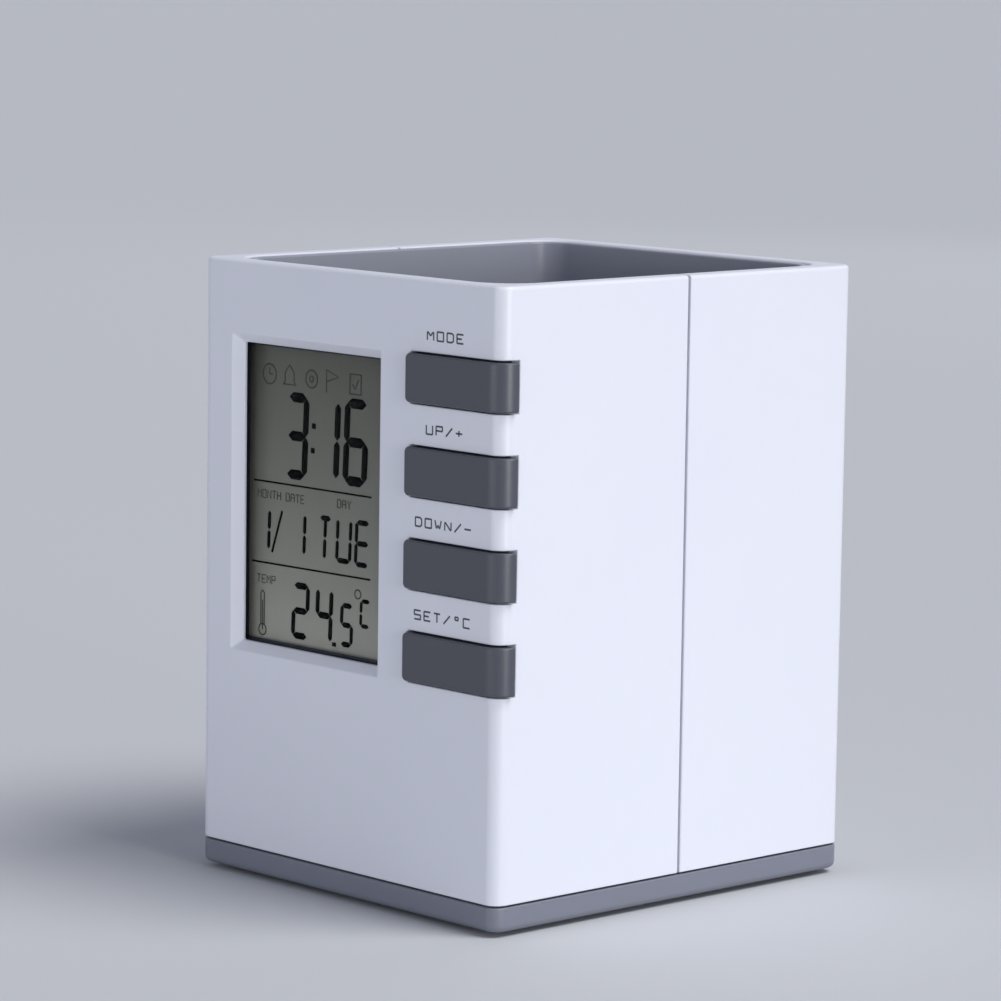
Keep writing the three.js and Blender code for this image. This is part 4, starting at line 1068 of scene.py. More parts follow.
@dataclass(frozen=True)
class Finishes:
    """All the clock's materials, each made once."""

    # White ABS from a spark eroded tool: satin, with a grain that only shows where light grazes it
    white_abs: Material = made_once(Moulded(
        "white_abs_spark_eroded", "e3e5ee", "dfe1eb", 0.36))
    # Grey ABS of the base tray: the same satin grain in a mid grey
    grey_abs: Material = made_once(Moulded(
        "grey_abs_spark_eroded", "7a7d8a", "757884", 0.42))
    # The cup's grey ABS, smoother and a little paler
    cup_abs: Material = made_once(Moulded(
        "grey_abs_cup", "9a9da8", "9497a1", 0.3, grain=0.6))
    # Grey ABS keys, a finer grain with a little more shine
    key_abs: Material = made_once(Moulded(
        "grey_abs_keys", "4d4f58", "484a53", 0.34, grain=0.3, grain_depth=0.008))
    # Polycarbonate lens, clear and polished
    lens: Material = made_once(Clear(
        "clear_polycarbonate_lens", "101213", 0.03, 0.05, 1.16))
    # Front glass of the display under its polariser film
    front_glass: Material = made_once(Clear(
        "display_front_glass", "121412", 0.03, 0.08, 1.12))
    # Natural ABS of the inner parts, not textured
    inner_plastic: Material = made_once(Moulded(
        "natural_abs_inner", "d3d2c9", "c9c8be", 0.5, grain=1.2))
    # Silicone strip with carbon layers, matt pink
    strip: Material = made_once(Moulded(
        "silicone_contact_strip", "b86a7c", "8f4c5d", 0.7, drift_size=0.6))
    board: Material = made_once(SolderMask())
    # Black epoxy, poured and glossy
    epoxy: Material = made_once(Moulded(
        "black_epoxy_poured", "141517", "1b1c1f", 0.22, grain=2.5, grain_depth=0.03, coat=0.3))
    # Black nylon of the switches
    nylon: Material = made_once(Moulded(
        "black_nylon_switch", "232427", "2a2b2f", 0.5, grain=0.25))
    # Zinc plated steel screws
    steel: Material = made_once(Metal(
        "zinc_plated_steel", "c3c6c9", "a9adb2", 0.3))
    # Nickel plated spring strip and wire
    nickel: Material = made_once(Metal(
        "nickel_plated_steel", "d2cfc6", "b9b6ac", 0.22))
    # Dark rubber, pressed and matt
    rubber: Material = made_once(Moulded(
        "black_rubber_pressed", "26272a", "2f3033", 0.85, grain=0.5, grain_depth=0.03))
    red_wire: Material = made_once(Moulded(
        "red_vinyl_insulation", "a92a2c", "b8383a", 0.4, grain=0.9))
    black_wire: Material = made_once(Moulded(
        "black_vinyl_insulation", "1c1c1f", "252529", 0.4, grain=0.9))
    # Pad printed ink on the white shell: dark grey, matt
    legend_ink: Material = made_once(Moulded(
        "dark_grey_pad_print", "55585f", "4e5158", 0.6, grain=0.2, grain_depth=0.004))
    # Black screen print on the rear of the lens
    border_ink: Material = made_once(Moulded(
        "black_screen_print", "2a2d36", "30333c", 0.5, grain=0.2, grain_depth=0.004))
    # Driven liquid crystal: nearly black
    crystal: Material = made_once(Moulded(
        "driven_liquid_crystal", "080a09", "0c0e0d", 0.6, grain=0.4, grain_depth=0.002,
        specular=0.1))
    # Half driven liquid crystal of the small signs: a grey a little under the glass
    faint_crystal: Material = made_once(Moulded(
        "half_driven_liquid_crystal", "565a52", "5e6259", 0.6, grain=0.4, grain_depth=0.002,
        specular=0.1))


@dataclass(frozen=True)
class PanHeadScrew:
    """A pan head screw, by its shank at the thread's crests, its head and its cross recess."""

    radius: float
    head_radius: float
    head: float
    recess: float
    recess_reach: float = 0.56
    recess_depth: float = 0.5
    root_share: float = 0.78
    pitch_share: float = 0.8
    flank_share: float = 0.3
    point_share: float = 1.2
    tip_share: float = 0.2
    tip: float = 0.02
    sides: int = 24

    def solid(self, length: float) -> Solid:
        """Builds the screw with its head at the origin and its point along +Z.

        Args:
            length: Its whole length.

        Returns:
            The screw.
        """
        radius, head = self.radius, self.head
        root, pitch = radius * self.root_share, radius * self.pitch_share
        flank = pitch * self.flank_share
        profile = [(self.head_radius * across, head * up) for across, up in HEAD_OUTLINE]
        profile.append((root, head))
        for turn in range(int((length - head - 2 * radius) / pitch)):
            level = head + pitch * turn + flank
            profile += [(root, level), (radius, level + flank), (root, level + 2 * flank)]
        profile += [
            (root, length - radius * self.point_share), (radius * self.tip_share, length - self.tip),
            (0, length),
        ]
        reach, half = self.head_radius * self.recess_reach, self.recess / 2
        depth = head * self.recess_depth
        return Solid.turned(profile, Vector(), UPWARD, self.sides).cut(
            Solid.block(-reach, reach, -half, half, -OVERRUN, depth),
            Solid.block(-half, half, -reach, reach, -OVERRUN, depth),
        )


def dress_node(
    node: str, finish: Material, slot: str, radius: float = 0.0, name: str | None = None
) -> None:
    """Dresses a CAD node in its own form, with softer edges.

    Args:
        node: The node's name.
        finish: Its material.
        slot: The record's material slot.
        radius: The rounding of its edges, or 0 for none.
        name: The piece's name, if it isn't the node's with an ending.
    """
    form = Solid.of_node(node)
    if radius:
        form = form.soften(radius, 2)
    form.piece(name or f"{node}_piece", finish, slot, [node])


def repeat_part(
    name: str, part: Solid, spots: Sequence[Vector], finish: Material, slot: str, nodes: Sequence[str]
) -> None:
    """Repeats one part on several spots by geometry nodes, as one piece on the case.

    Args:
        name: The piece's name.
        part: The part at the origin, turned as it lies.
        spots: Where copies go.
        finish: Their material.
        slot: The record's material slot.
        nodes: The CAD nodes that they stand for.
    """
    points = bpy.data.meshes.new("spots")
    points.from_pydata(spots, [], [])
    sample = linked_object("sample", part.shaded())
    mesh = RepeatTree().run(points, {"Part": sample, "Finish": finish})
    bpy.data.objects.remove(sample)
    mesh.transform(TO_FRAME)
    dressed(name, mesh, finish, slot, nodes)


@dataclass
class Casing:
    """Two white half shells that start as one box with a rim, with openings for display, keys and door."""

    finishes: Finishes
    mouth_radius: float = 6.7
    seam_gap: float = 0.5
    rim_round: float = 0.7
    mouth_round: float = 0.55
    seam_round: float = 0.28
    edge_round: float = 0.22
    boss_radius: float = 3.1
    pilot_radius: float = 1.6
    bevel_size: float = 1.6
    bevel_depth: float = 1.5
    window_corner: float = 0.4
    key_gap: float = 0.3
    key_travel: float = 0.5
    key_corner: float = 0.9
    stud_radius: float = 1.9
    stud_pilot: float = 1.0
    ear_post: float = 5.0
    tongue: float = 1.0
    tongue_root: float = 2.5
    rib_reach: float = 3.0
    rib_depth: float = 1.8
    rib_edge: float = 0.8
    pin_play: float = 0.2

    def __post_init__(self) -> None:
        """Reads the outer faces from the frame."""
        self.base = Span.of("base_plate")
        self.shell = Span.of("front_shell")
        self.half_width = self.base.high.x
        self.half_depth = self.base.high.y
        self.seam = self.shell.high.y

    def plan(self, inset: float, radius: float) -> Line:
        """Draws the box's plan, set in by a margin."""
        return centred_outline(self.half_width - inset, self.half_depth - inset, radius)

    def whole_box(self) -> Solid:
        """Builds the hollow box with its rim.

        Returns:
            The box before it is cut at the seam.
        """
        low, high = self.shell.low.z, self.shell.high.z
        under = high - RIM_THICKNESS
        return Solid.prism(self.plan(0.0, CORNER), low, high, Along.Z).cut(
            Solid.prism(self.plan(WALL, CORNER - WALL), low - OVERRUN, under, Along.Z),
            Solid.prism(
                self.plan(RIM_WIDTH, self.mouth_radius), under - OVERRUN, high + OVERRUN, Along.Z
            ),
        )

    def slab(self, near: float, far: float) -> Solid:
        """Makes a block that takes in the whole box from one depth to another."""
        wide = 2 * self.half_width
        return Solid.block(-wide, wide, near, far, -OVERRUN, self.shell.high.z + OVERRUN)

    def bosses(self, end: str) -> tuple[Solid, Solid]:
        """Builds the bosses that the base screws of one end go into, each with a web to the wall.

        Args:
            end: The end, front or rear.

        Returns:
            The bosses and their pilot holes.
        """
        top = Span.of("inner_cup").low.z - OVERRUN
        low = self.shell.low.z
        places = [Span.of(f"base_screw_{end}_{side}").plan for side in SIDES]
        made = []
        for across, along in places:
            side = math.copysign(self.half_width - WALL / 2, across)
            web = Solid.block(
                min(across, side), max(across, side), along - WALL / 2, along + WALL / 2, low, top
            )
            made.append(Solid.rod(self.boss_radius, (across, along), low, top, Along.Z).join(web))
        pilots = Solid.rods(self.pilot_radius, places, low - OVERRUN, top - WALL / 2, Along.Z)
        return Solid.gathered(made), pilots

    def skin_rule(self, rear: bool) -> Rounding:
        """Gives the rounding of each edge on the outer skin.

        Args:
            rear: Whether it is the rear shell.

        Returns:
            A rule from an edge's middle to its radius.
        """
        seam = self.seam + self.seam_gap if rear else self.seam
        brim = self.shell.high.z - LEVEL_MARGIN
        window_right = Span.of("display_window").high.x

        def radius(middle: Vector) -> float:
            """Gives the radius for one edge.

            Args:
                middle: The edge's middle.

            Returns:
                The radius, 0 for a sharp edge.
            """
            depth = plan_depth(middle, self.half_width, self.half_depth, CORNER)
            on_skin = depth < SKIN_MARGIN
            on_brim = middle.z > brim
            if abs(middle.y - seam) < LEVEL_MARGIN and (on_skin or on_brim):
                return self.seam_round
            if on_brim:
                return self.rim_round if depth < CORNER / 2 else self.mouth_round
            in_window = not rear and depth < self.bevel_depth + SKIN_MARGIN and middle.x < window_right
            return self.edge_round if on_skin or in_window else 0.0

        return radius

    def window_cutter(self) -> Solid:
        """Builds the bevelled opening of the display.

        Returns:
            The solid that cuts it.
        """
        lens = Span.of("display_window")
        front = -self.half_depth
        levels = (
            (front - OVERRUN, self.bevel_size * (1 + OVERRUN / self.bevel_depth)),
            (front + self.bevel_depth, 0.0),
            (front + WALL + OVERRUN, 0.0),
        )
        return Solid.loft([
            (lens.front_outline(LENS_LEDGE - grow, LENS_LEDGE - grow, self.window_corner), level)
            for level, grow in levels
        ], Along.Y)

    def key_slot(self, key: str) -> tuple[Solid, Solid]:
        """Builds the slot that one key needs in the front and in the side.

        Args:
            key: The key's node.

        Returns:
            The front part and the side part of the cutter.
        """
        span = Span.of(key)
        left = span.low.x + KEY_FLANGE - self.key_gap
        low = span.low.z + KEY_FLANGE - self.key_gap
        high = span.high.z - KEY_FLANGE + self.key_gap
        outside = 2 * self.half_width
        front = -self.half_depth
        face = Solid.prism(
            rounded_outline(left, outside, low, high, self.key_corner + self.key_gap, ARC_STEPS // 2),
            front - OVERRUN, front + WALL + CORNER / 2, Along.Y,
        )
        side = Solid.block(
            self.half_width - WALL - CORNER / 2, outside,
            front - OVERRUN, span.high.y + self.key_travel + self.key_gap, low, high,
        )
        return face, side

    def front_shell(self) -> None:
        """Builds the front shell with its window, key slots, screw bosses and board studs."""
        deep = self.half_depth
        board = Span.of("main_board").low.y
        bosses, pilots = self.bosses("front")
        places = [Span.of(screw).face for screw in BOARD_SCREWS]
        studs = Solid.rods(self.stud_radius, places, -deep + WALL / 2, board - FIT, Along.Y)
        stud_pilots = Solid.rods(self.stud_pilot, places, -deep + WALL, board, Along.Y)
        faces, sides = zip(*map(self.key_slot, KEY_NODES))
        self.whole_box().cut(self.slab(self.seam, 2 * deep)).join(bosses, studs).cut(
            self.window_cutter(), Solid.gathered(faces), Solid.gathered(sides), pilots, stud_pilots
        ).soften(self.skin_rule(rear=False)).piece(
            "front_shell_moulding", self.finishes.white_abs, "white_abs", ["front_shell"]
        )

    def rear_shell(self) -> None:
        """Builds the rear shell with the tongues behind the seams, the door frame and its pin holes."""
        seam = self.seam + self.seam_gap
        inner = self.half_depth - WALL
        door = Span.of("battery_door")
        side = door.high.x - DOOR_PIN_LENGTH + FIT
        low, high = door.low.z - FIT, door.high.z + FIT
        rib = Solid.block(
            -side - self.rib_reach, side + self.rib_reach, inner - self.rib_depth, inner + WALL / 2,
            low - self.rib_edge - FIT, high + self.rib_edge + FIT,
        )
        doorway = Solid.block(
            -side, side, inner - 2 * self.rib_depth, self.half_depth + OVERRUN, low, high
        )
        pin_centre = (door.high.y - DOOR_BEAD, door.low.z + DOOR_BEAD)
        pin_reach = door.high.x + FIT
        pins = Solid.rod(DOOR_PIN + self.pin_play, pin_centre, -pin_reach, pin_reach, Along.X)
        tongues = Solid.gathered(self.seam_tongue(way, seam) for way in (-1, 1))
        bosses, pilots = self.bosses("rear")
        ears = [Span.of(screw).face for screw in TRAY_SCREWS]
        start = inner - self.ear_post
        posts = Solid.rods(self.stud_radius, ears, start + FIT, inner + WALL / 2, Along.Y)
        ear_pilots = Solid.rods(self.stud_pilot, ears, start, inner, Along.Y)
        self.whole_box().cut(self.slab(-2 * self.half_depth, seam)).join(
            rib, tongues, bosses, posts
        ).cut(
            doorway, pins, pilots, ear_pilots
        ).soften(self.skin_rule(rear=True)).piece(
            "rear_shell_moulding", self.finishes.white_abs, "white_abs", ["rear_shell"]
        )

    def seam_tongue(self, side: int, seam: float) -> Solid:
        """Builds the tongue that closes one seam from inside.

        Args:
            side: -1 for the left seam, 1 for the right one.
            seam: Where the rear shell starts.

        Returns:
            The tongue with its root on the wall.
        """
        outer = self.half_width - WALL - FIT
        inner = outer - self.tongue
        low = self.base.high.z + FIT
        high = self.shell.high.z - RIM_THICKNESS - 2 * FIT - self.tongue
        reach = Span.of("rear_shell").low.y

        def plate(to_x: float, from_y: float) -> Solid:
            """Makes one plate of the tongue on its own side."""
            near, far = sorted((side * inner, side * to_x))
            return Solid.block(near, far, from_y, seam + self.tongue_root, low, high)

        return plate(outer, reach).join(plate(outer + FIT + OVERRUN, seam))


@dataclass
class BatteryDoor:
    """The door in the rear wall, hinged on two pins along its lower bead."""

    finishes: Finishes
    notch_radius: float = 5.0
    notch_depth: float = 1.0
    edge_round: float = 0.22

    def build(self) -> None:
        """Builds the door."""
        span = Span.of("battery_door")
        side = span.high.x - DOOR_PIN_LENGTH
        rear = span.high.y
        centre = (rear - DOOR_BEAD, span.low.z + DOOR_BEAD)
        plate = Solid.block(-side, side, rear - WALL, rear, centre[1], span.high.z)
        bead = Solid.rod(DOOR_BEAD, centre, -side, side, Along.X)
        pins = Solid.rod(DOOR_PIN, centre, span.low.x, span.high.x, Along.X)
        notch = Solid.rod(
            self.notch_radius, (0.0, span.high.z), rear - self.notch_depth, rear + OVERRUN, Along.Y
        )
        plate.join(bead, pins).cut(notch).soften(self.edge_round).piece(
            "battery_door_moulding", self.finishes.white_abs, "white_abs", ["battery_door"], "door"
        )


@dataclass
class BaseTray:
    """The grey tray under both shells, with its band, spigot, posts, pads, feet and screws."""

    finishes: Finishes
    band: float = 4.2
    floor: float = 2.2
    bottom_round: float = 1.2
    top_round: float = 0.3
    hole_round: float = 0.2
    spigot_wall: float = 1.5
    pad_radius: float = 3.1
    post_radius: float = 3.0
    post_side_inset: float = 13.8
    post_end_inset: float = 8.5
    screw: PanHeadScrew = PanHeadScrew(1.3, 2.4, 1.5, 0.6)
    sink: float = 2.0
    foot_radius: float = 4.0
    # How far the points of a foot's sole lie inside its side, and how high
    foot_sole: tuple[Point, ...] = ((1.2, 0), (0.35, 0.05), (0.1, 0.2), (0, 0.5))
    foot_bevel: float = 0.1

    def build(self) -> None:
        """Builds the tray, its feet and its screws."""
        self.tray()
        self.feet()
        self.screws()

    def tray(self) -> None:
        """Builds the tray."""
        span = Span.of("base_plate")
        wide, deep, low, high = span.high.x, span.high.y, span.low.z, span.high.z
        top, floor = low + self.band, low + self.floor
        inset = WALL + FIT

        def ring(step: float) -> Line:
            """Draws the plan of the spigot, set in by a step."""
            return centred_outline(wide - step, deep - step, CORNER / 2, ARC_STEPS // 2)

        band = Solid.prism(centred_outline(wide, deep, CORNER), low, top, Along.Z)
        spigot = Solid.prism(ring(inset), floor - OVERRUN, high, Along.Z)
        well = Solid.prism(ring(inset + self.spigot_wall), floor, high + OVERRUN, Along.Z)
        screws = [Span.of(node).plan for node in BASE_SCREWS]
        notches = [self.notch(spot, wide, top, high) for spot in screws]
        tray, plate = Span.of("battery_tray"), Span.of("battery_plate_positive")
        notches.append(Solid.block(
            tray.high.x - TRAY_WALL, wide, tray.low.y, plate.middle.y + LEAD_DIAMETER, top, high + OVERRUN
        ))
        pads = Solid.rods(self.pad_radius, screws, floor - OVERRUN, top, Along.Z)
        cup_floor = Span.of("inner_cup").low.z
        posts = Solid.rods(self.post_radius, self.post_places(), floor - OVERRUN, cup_floor - FIT, Along.Z)
        holes = Solid.rods(self.screw.radius + FIT, screws, -OVERRUN, top + OVERRUN, Along.Z)
        sinks = Solid.rods(self.screw.head_radius + FIT, screws, -OVERRUN, low + self.sink, Along.Z)
        feet = [Span.of(foot) for foot in FEET]
        pockets = Solid.rods(
            self.foot_radius + FIT, [foot.plan for foot in feet], -OVERRUN, feet[0].high.z + FIT, Along.Z
        )

        def rule(middle: Vector) -> float:
            """Gives the rounding of the band's edges and of the holes below.

            Args:
                middle: The edge's middle.

            Returns:
                The radius, 0 for a sharp edge.
            """
            on_skin = plan_depth(middle, wide, deep, CORNER) < SKIN_MARGIN
            if middle.z < low + LEVEL_MARGIN:
                return self.bottom_round if on_skin else self.hole_round
            return self.top_round if on_skin and middle.z > top - LEVEL_MARGIN else 0.0

        band.join(spigot).cut(well).cut(*notches).join(pads, posts).cut(
            holes, sinks, pockets
        ).soften(rule, 4).piece("base_tray_moulding", self.finishes.grey_abs, "grey_abs", ["base_plate"])

    def notch(self, spot: Point, wide: float, top: float, high: float) -> Solid:
        """Cuts the spigot away round one boss.

        Args:
            spot: The boss's middle.
            wide: Half the body's width.
            top: The cut's lower end.
            high: The spigot's upper end.

        Returns:
            The cutter.
        """
        reach = self.pad_radius + FIT
        across, along = spot
        near, far = sorted((math.copysign(abs(across) - reach, across), math.copysign(wide, across)))
        return Solid.block(near, far, along - reach, along + reach, top, high + OVERRUN)

    def post_places(self) -> list[Point]:
        """Gives the four posts that carry the cup's floor.

        Returns:
            Their middles.
        """
        across = Span.of("inner_cup").high.x - CUP_WALL - self.post_side_inset
        front = Span.of("buzzer").high.y + CUP_TO_BUZZER + self.post_end_inset
        rear = Span.of("battery_tray").low.y - FIT - self.post_end_inset
        return [(side * across, along) for side in (-1, 1) for along in (front, rear)]

    def feet(self) -> None:
        """Presses a rubber foot into each pocket."""
        span = Span.of(FEET[0])
        radius, height = span.size.x / 2, span.size.z
        sole = [(radius - inside, rise) for inside, rise in self.foot_sole]
        bevel = self.foot_bevel
        foot = Solid.turned(
            ((0, 0), *sole, (radius, height - bevel), (radius - bevel, height), (0, height)),
            Vector(), UPWARD,
        )
        spots = [Vector((*Span.of(node).plan, 0)) for node in FEET]
        repeat_part("rubber_feet", foot, spots, self.finishes.rubber, "foot_rubber", FEET)

    def screws(self) -> None:
        """Puts a pan head screw into each hole from below."""
        places = [Span.of(node) for node in BASE_SCREWS]
        spots = [Vector((*place.plan, place.low.z)) for place in places]
        screw = self.screw.solid(places[0].size.z)
        repeat_part("base_screws", screw, spots, self.finishes.steel, "steel", BASE_SCREWS)


@dataclass
class PenCup:
    """The grey cup: full width at the rim, drawn in below for the board in front and the cells behind."""

    finishes: Finishes
    inner_radius: float = 5.0
    lip: float = 1.0
    lip_drop: float = 0.3
    lip_corner: float = 0.6
    ledge_gap: float = 1.1
    top_round: float = 0.35
    fold_round: float = 0.6
    slope: float = math.pi / 4

    def __post_init__(self) -> None:
        """Finds the cup's outer faces between the rim, the display, the board and the cells."""
        base, display = Span.of("base_plate"), Span.of("lcd_frame")
        self.half = base.high.x - RIM_WIDTH - FIT
        self.front = base.low.y + RIM_WIDTH + FIT
        self.rear = base.high.y - RIM_WIDTH - FIT
        self.low_front = Span.of("buzzer").high.y + CUP_TO_BUZZER
        self.low_rear = Span.of("battery_tray").low.y - FIT
        self.slope_top = display.high.z + display.high.y - self.front + 2 * FIT
        self.ledge_bottom = Span.of("battery_door").high.z + self.ledge_gap + CUP_WALL

    def profile(self, inset: float, top: float, bottom: float) -> Line:
        """Draws the cup's side view, in Y and Z.

        Args:
            inset: How far inside the outer face it lies.
            top: Its upper end.
            bottom: Its lower end.

        Returns:
            The points.
        """
        rise = inset * math.tan(self.slope / 2)
        return [
            (self.front + inset, top),
            (self.front + inset, self.slope_top + rise),
            (self.low_front + inset, self.slope_top - (self.low_front - self.front) + rise),
            (self.low_front + inset, bottom),
            (self.low_rear - inset, bottom),
            (self.low_rear - inset, self.ledge_bottom + rise),
            (self.rear - inset, self.ledge_bottom + (self.rear - self.low_rear) + rise),
            (self.rear - inset, top),
        ]

    def form(self, inset: float, low: float, high: float) -> Solid:
        """Builds the cup's outer or inner form.

        Args:
            inset: How far inside the outer face it lies.
            low: Its lower end.
            high: Its upper end.

        Returns:
            The filled form.
        """
        plan = rounded_outline(
            -self.half + inset, self.half - inset, self.front + inset, self.rear - inset,
            self.inner_radius + CUP_WALL - inset,
        )
        side = self.profile(inset, high + OVERRUN, low - OVERRUN)
        return Solid.prism(plan, low, high, Along.Z).meet(
            Solid.prism(side, -2 * self.half, 2 * self.half, Along.X)
        )

    def build(self) -> None:
        """Builds the cup with its lip under the rim."""
        cup = Span.of("inner_cup")
        top, bottom = cup.high.z, cup.low.z
        floor = bottom + CUP_WALL
        lip_top = Span.of("front_shell").high.z - RIM_THICKNESS - self.lip_drop
        lip = Solid.prism(rounded_outline(
            cup.low.x, cup.high.x, cup.low.y, cup.high.y, self.lip_corner, SMALL_ARC_STEPS
        ), lip_top - self.lip, lip_top, Along.Z)

        def rule(middle: Vector) -> float:
            """Gives the rounding of the brim and of the folds inside.

            Args:
                middle: The edge's middle.

            Returns:
                The radius, 0 for a sharp edge.
            """
            if middle.z > top - LEVEL_MARGIN:
                return self.top_round
            depth = plan_depth(middle, self.half, self.rear, self.inner_radius + CUP_WALL)
            inside = depth > CUP_WALL - SKIN_MARGIN and middle.z > floor - LEVEL_MARGIN
            return self.fold_round if inside else 0.0

        self.form(0.0, bottom, top).join(lip).cut(
            self.form(CUP_WALL, floor, top + OVERRUN)
        ).soften(rule).piece("inner_cup_moulding", self.finishes.cup_abs, "grey_abs", ["inner_cup"])


@dataclass(frozen=True)
class Lettering:
    """Thin square letters, by their width, their height and the space between them."""

    width: float
    height: float
    gap: float

    def lines(self, word: str, centre: Point) -> list[Line]:
        """Draws a word.

        Args:
            word: The word.
            centre: Its middle, in X and Z.

        Returns:
            The lines of all its letters.
        """
        pitch = self.width + self.gap
        start = centre[0] - (len(word) * pitch - self.gap) / 2
        return [
            [
                (start + place * pitch + int(spot[0]) / GRID_WIDTH * self.width,
                 centre[1] + (int(spot[1]) / GRID_HEIGHT - 0.5) * self.height)
                for spot in stroke.split()
            ]
            for place, letter in enumerate(word)
            for stroke in LETTER_STROKES[letter]
        ]


@dataclass(frozen=True)
class Bar:
    """A flat bar of print or crystal: its section, how its ends narrow and how round it turns."""

    width: float
    depth: float
    point_length: float = 0.01
    end_share: float = 1.0
    turn_radius: float = 0.0


def ink(lines: Sequence[Line], level: float, strokes: StrokeTree, bar: Bar, finish: Material) -> Mesh:
    """Lays flat bars along lines in an upright plane.

    Args:
        lines: The lines, in X and Z.
        level: The plane's Y.
        strokes: The tree that makes the bars.
        bar: What a bar is like.
        finish: Its material.

    Returns:
        The bars, in the frame.
    """
    skeleton = bpy.data.meshes.new("lines")
    spots: list[Vector] = []
    edges = []
    for line in lines:
        first = len(spots)
        spots += [Vector((across, up, 0.0)) for across, up in line]
        edges += [(index, index + 1) for index in range(first, len(spots) - 1)]
    skeleton.from_pydata(spots, edges, [])
    mesh = strokes.run(skeleton, {
        "Bar Width": bar.width, "Bar Depth": bar.depth, "Point Length": bar.point_length,
        "End Share": bar.end_share, "Turn Radius": bar.turn_radius, "Finish": finish,
    })
    upright = Matrix.Translation((0, level, 0)) @ Matrix.Rotation(math.pi / 2, 4, "X")
    mesh.transform(TO_FRAME @ upright)
    return mesh


@dataclass
class Keys:
    """Four keys that wrap round the front right corner, and the printed words above them."""

    finishes: Finishes
    strokes: StrokeTree
    flange_thickness: float = 0.65
    proud: float = 0.9
    left_round: float = 0.9
    left_steps: int = 8
    edge_round: float = 0.32
    side_wall: float = 2.3
    face_step: float = 0.001
    letters: Lettering = Lettering(1.5, 1.45, 0.85)
    stroke: Bar = Bar(0.3, 0.02, turn_radius=0.12)
    legend_rise: float = 7.1
    legend_offset: float = 8.7
    words: tuple[str, ...] = ("MODE", "UP/+", "DOWN/-", "SET/°C")

    def __post_init__(self) -> None:
        """Reads the walls that the keys wrap round."""
        base = Span.of("base_plate")
        self.front = base.low.y
        self.inner = base.high.x - self.side_wall

    def build(self) -> None:
        """Builds each key and its word."""
        for node, word in zip(KEY_NODES, self.words):
            self.key(node)
            self.legend(node, word)

    def outline(self, span: Span) -> Line:
        """Draws the plan of a key round the corner.

        Args:
            span: The box of its node.

        Returns:
            The points in X and Y.
        """
        radius = CORNER + self.proud
        across, along = span.high.x - radius, span.low.y + radius
        left, end = span.low.x + KEY_FLANGE, span.high.y - self.face_step
        points = [(left, span.low.y)]
        for step in range(ARC_STEPS + 1):
            angle = (step / ARC_STEPS - 1) * math.pi / 2
            points.append((across + radius * math.cos(angle), along + radius * math.sin(angle)))
        points += [(span.high.x, end), (self.inner, end), (self.inner, span.high.y), (left, span.high.y)]
        return points

    def key(self, node: str) -> None:
        """Builds one key with the flange that holds it behind the wall.

        Args:
            node: The key's node.
        """
        span = Span.of(node)
        low, high = span.low.z + KEY_FLANGE, span.high.z - KEY_FLANGE
        left = span.low.x + KEY_FLANGE
        face = Solid.prism(
            rounded_outline(left, 2 * span.high.x, low, high, self.left_round, self.left_steps),
            span.low.y - OVERRUN, span.high.y + OVERRUN, Along.Y,
        )
        cap = Solid.prism(self.outline(span), low, high, Along.Z).meet(face)
        flange = Solid.block(
            span.low.x, self.inner, span.high.y - self.flange_thickness, span.high.y,
            span.low.z, span.high.z,
        )

        def rule(middle: Vector) -> float:
            """Gives a full rounding to the edges that stand clear of the flange."""
            clear = middle.y < self.front + WALL or middle.x > self.inner + WALL / 2
            return self.edge_round if clear else 0.0

        name = node.removeprefix("button_")
        cap.join(flange).soften(rule).piece(
            f"key_{name}_cap", self.finishes.key_abs, "key_grey", [node], f"key_{name}"
        )

    def legend(self, node: str, word: str) -> None:
        """Prints a word above a key.

        Args:
            node: The key's node.
            word: What is printed.
        """
        span = Span.of(node)
        centre = (span.low.x + KEY_FLANGE + self.legend_offset, span.middle.z + self.legend_rise)
        level = self.front - self.stroke.depth / 2
        finish = self.finishes.legend_ink
        mesh = ink(self.letters.lines(word, centre), level, self.strokes, self.stroke, finish)
        dressed(f"legend_{node.removeprefix('button_')}", mesh, finish)


@dataclass(frozen=True)
class Digit:
    """One lit digit, by its middle in the window, its size and the width of its bars."""

    sign: str
    across: float
    up: float
    width: float
    height: float
    bar: float
    lean: float = 0.04
    gap: float = 0.08
    flat_point: float = 0.7
    upright_point: float = 0.5

    def lines(self, flat: bool) -> list[Line]:
        """Gives the centre line of each lit bar, with points where its ends start to narrow.

        Args:
            flat: Whether the lying bars are wanted, or else the upright ones.

        Returns:
            The lines about the window's middle.
        """
        half_w, half_h = (self.width - self.bar) / 2, (self.height - self.bar) / 2
        columns = {"l": -half_w, "c": 0.0, "r": half_w}
        rows = {"t": half_h, "m": 0.0, "b": -half_h}
        taper = self.bar * (self.flat_point if flat else self.upright_point)
        lines = []
        for bar in LIT_BARS[self.sign]:
            start, end = (Vector((columns[c[1]], rows[c[0]])) for c in BARS[bar])
            if (start.y == end.y) != flat:
                continue
            way = (end - start).normalized()
            spots = [start + way * self.gap, start + way * (self.gap + taper)]
            spots += [end - way * (self.gap + taper), end - way * self.gap]
            lines.append([
                (self.across + spot.x + spot.y * self.lean, self.up + spot.y) for spot in spots
            ])
        return lines


def ring_line(centre: Point, radius: float) -> Line:
    """Draws a closed circle."""
    points = circle(centre, radius, SIGN_SIDES)
    return [*points, points[0]]


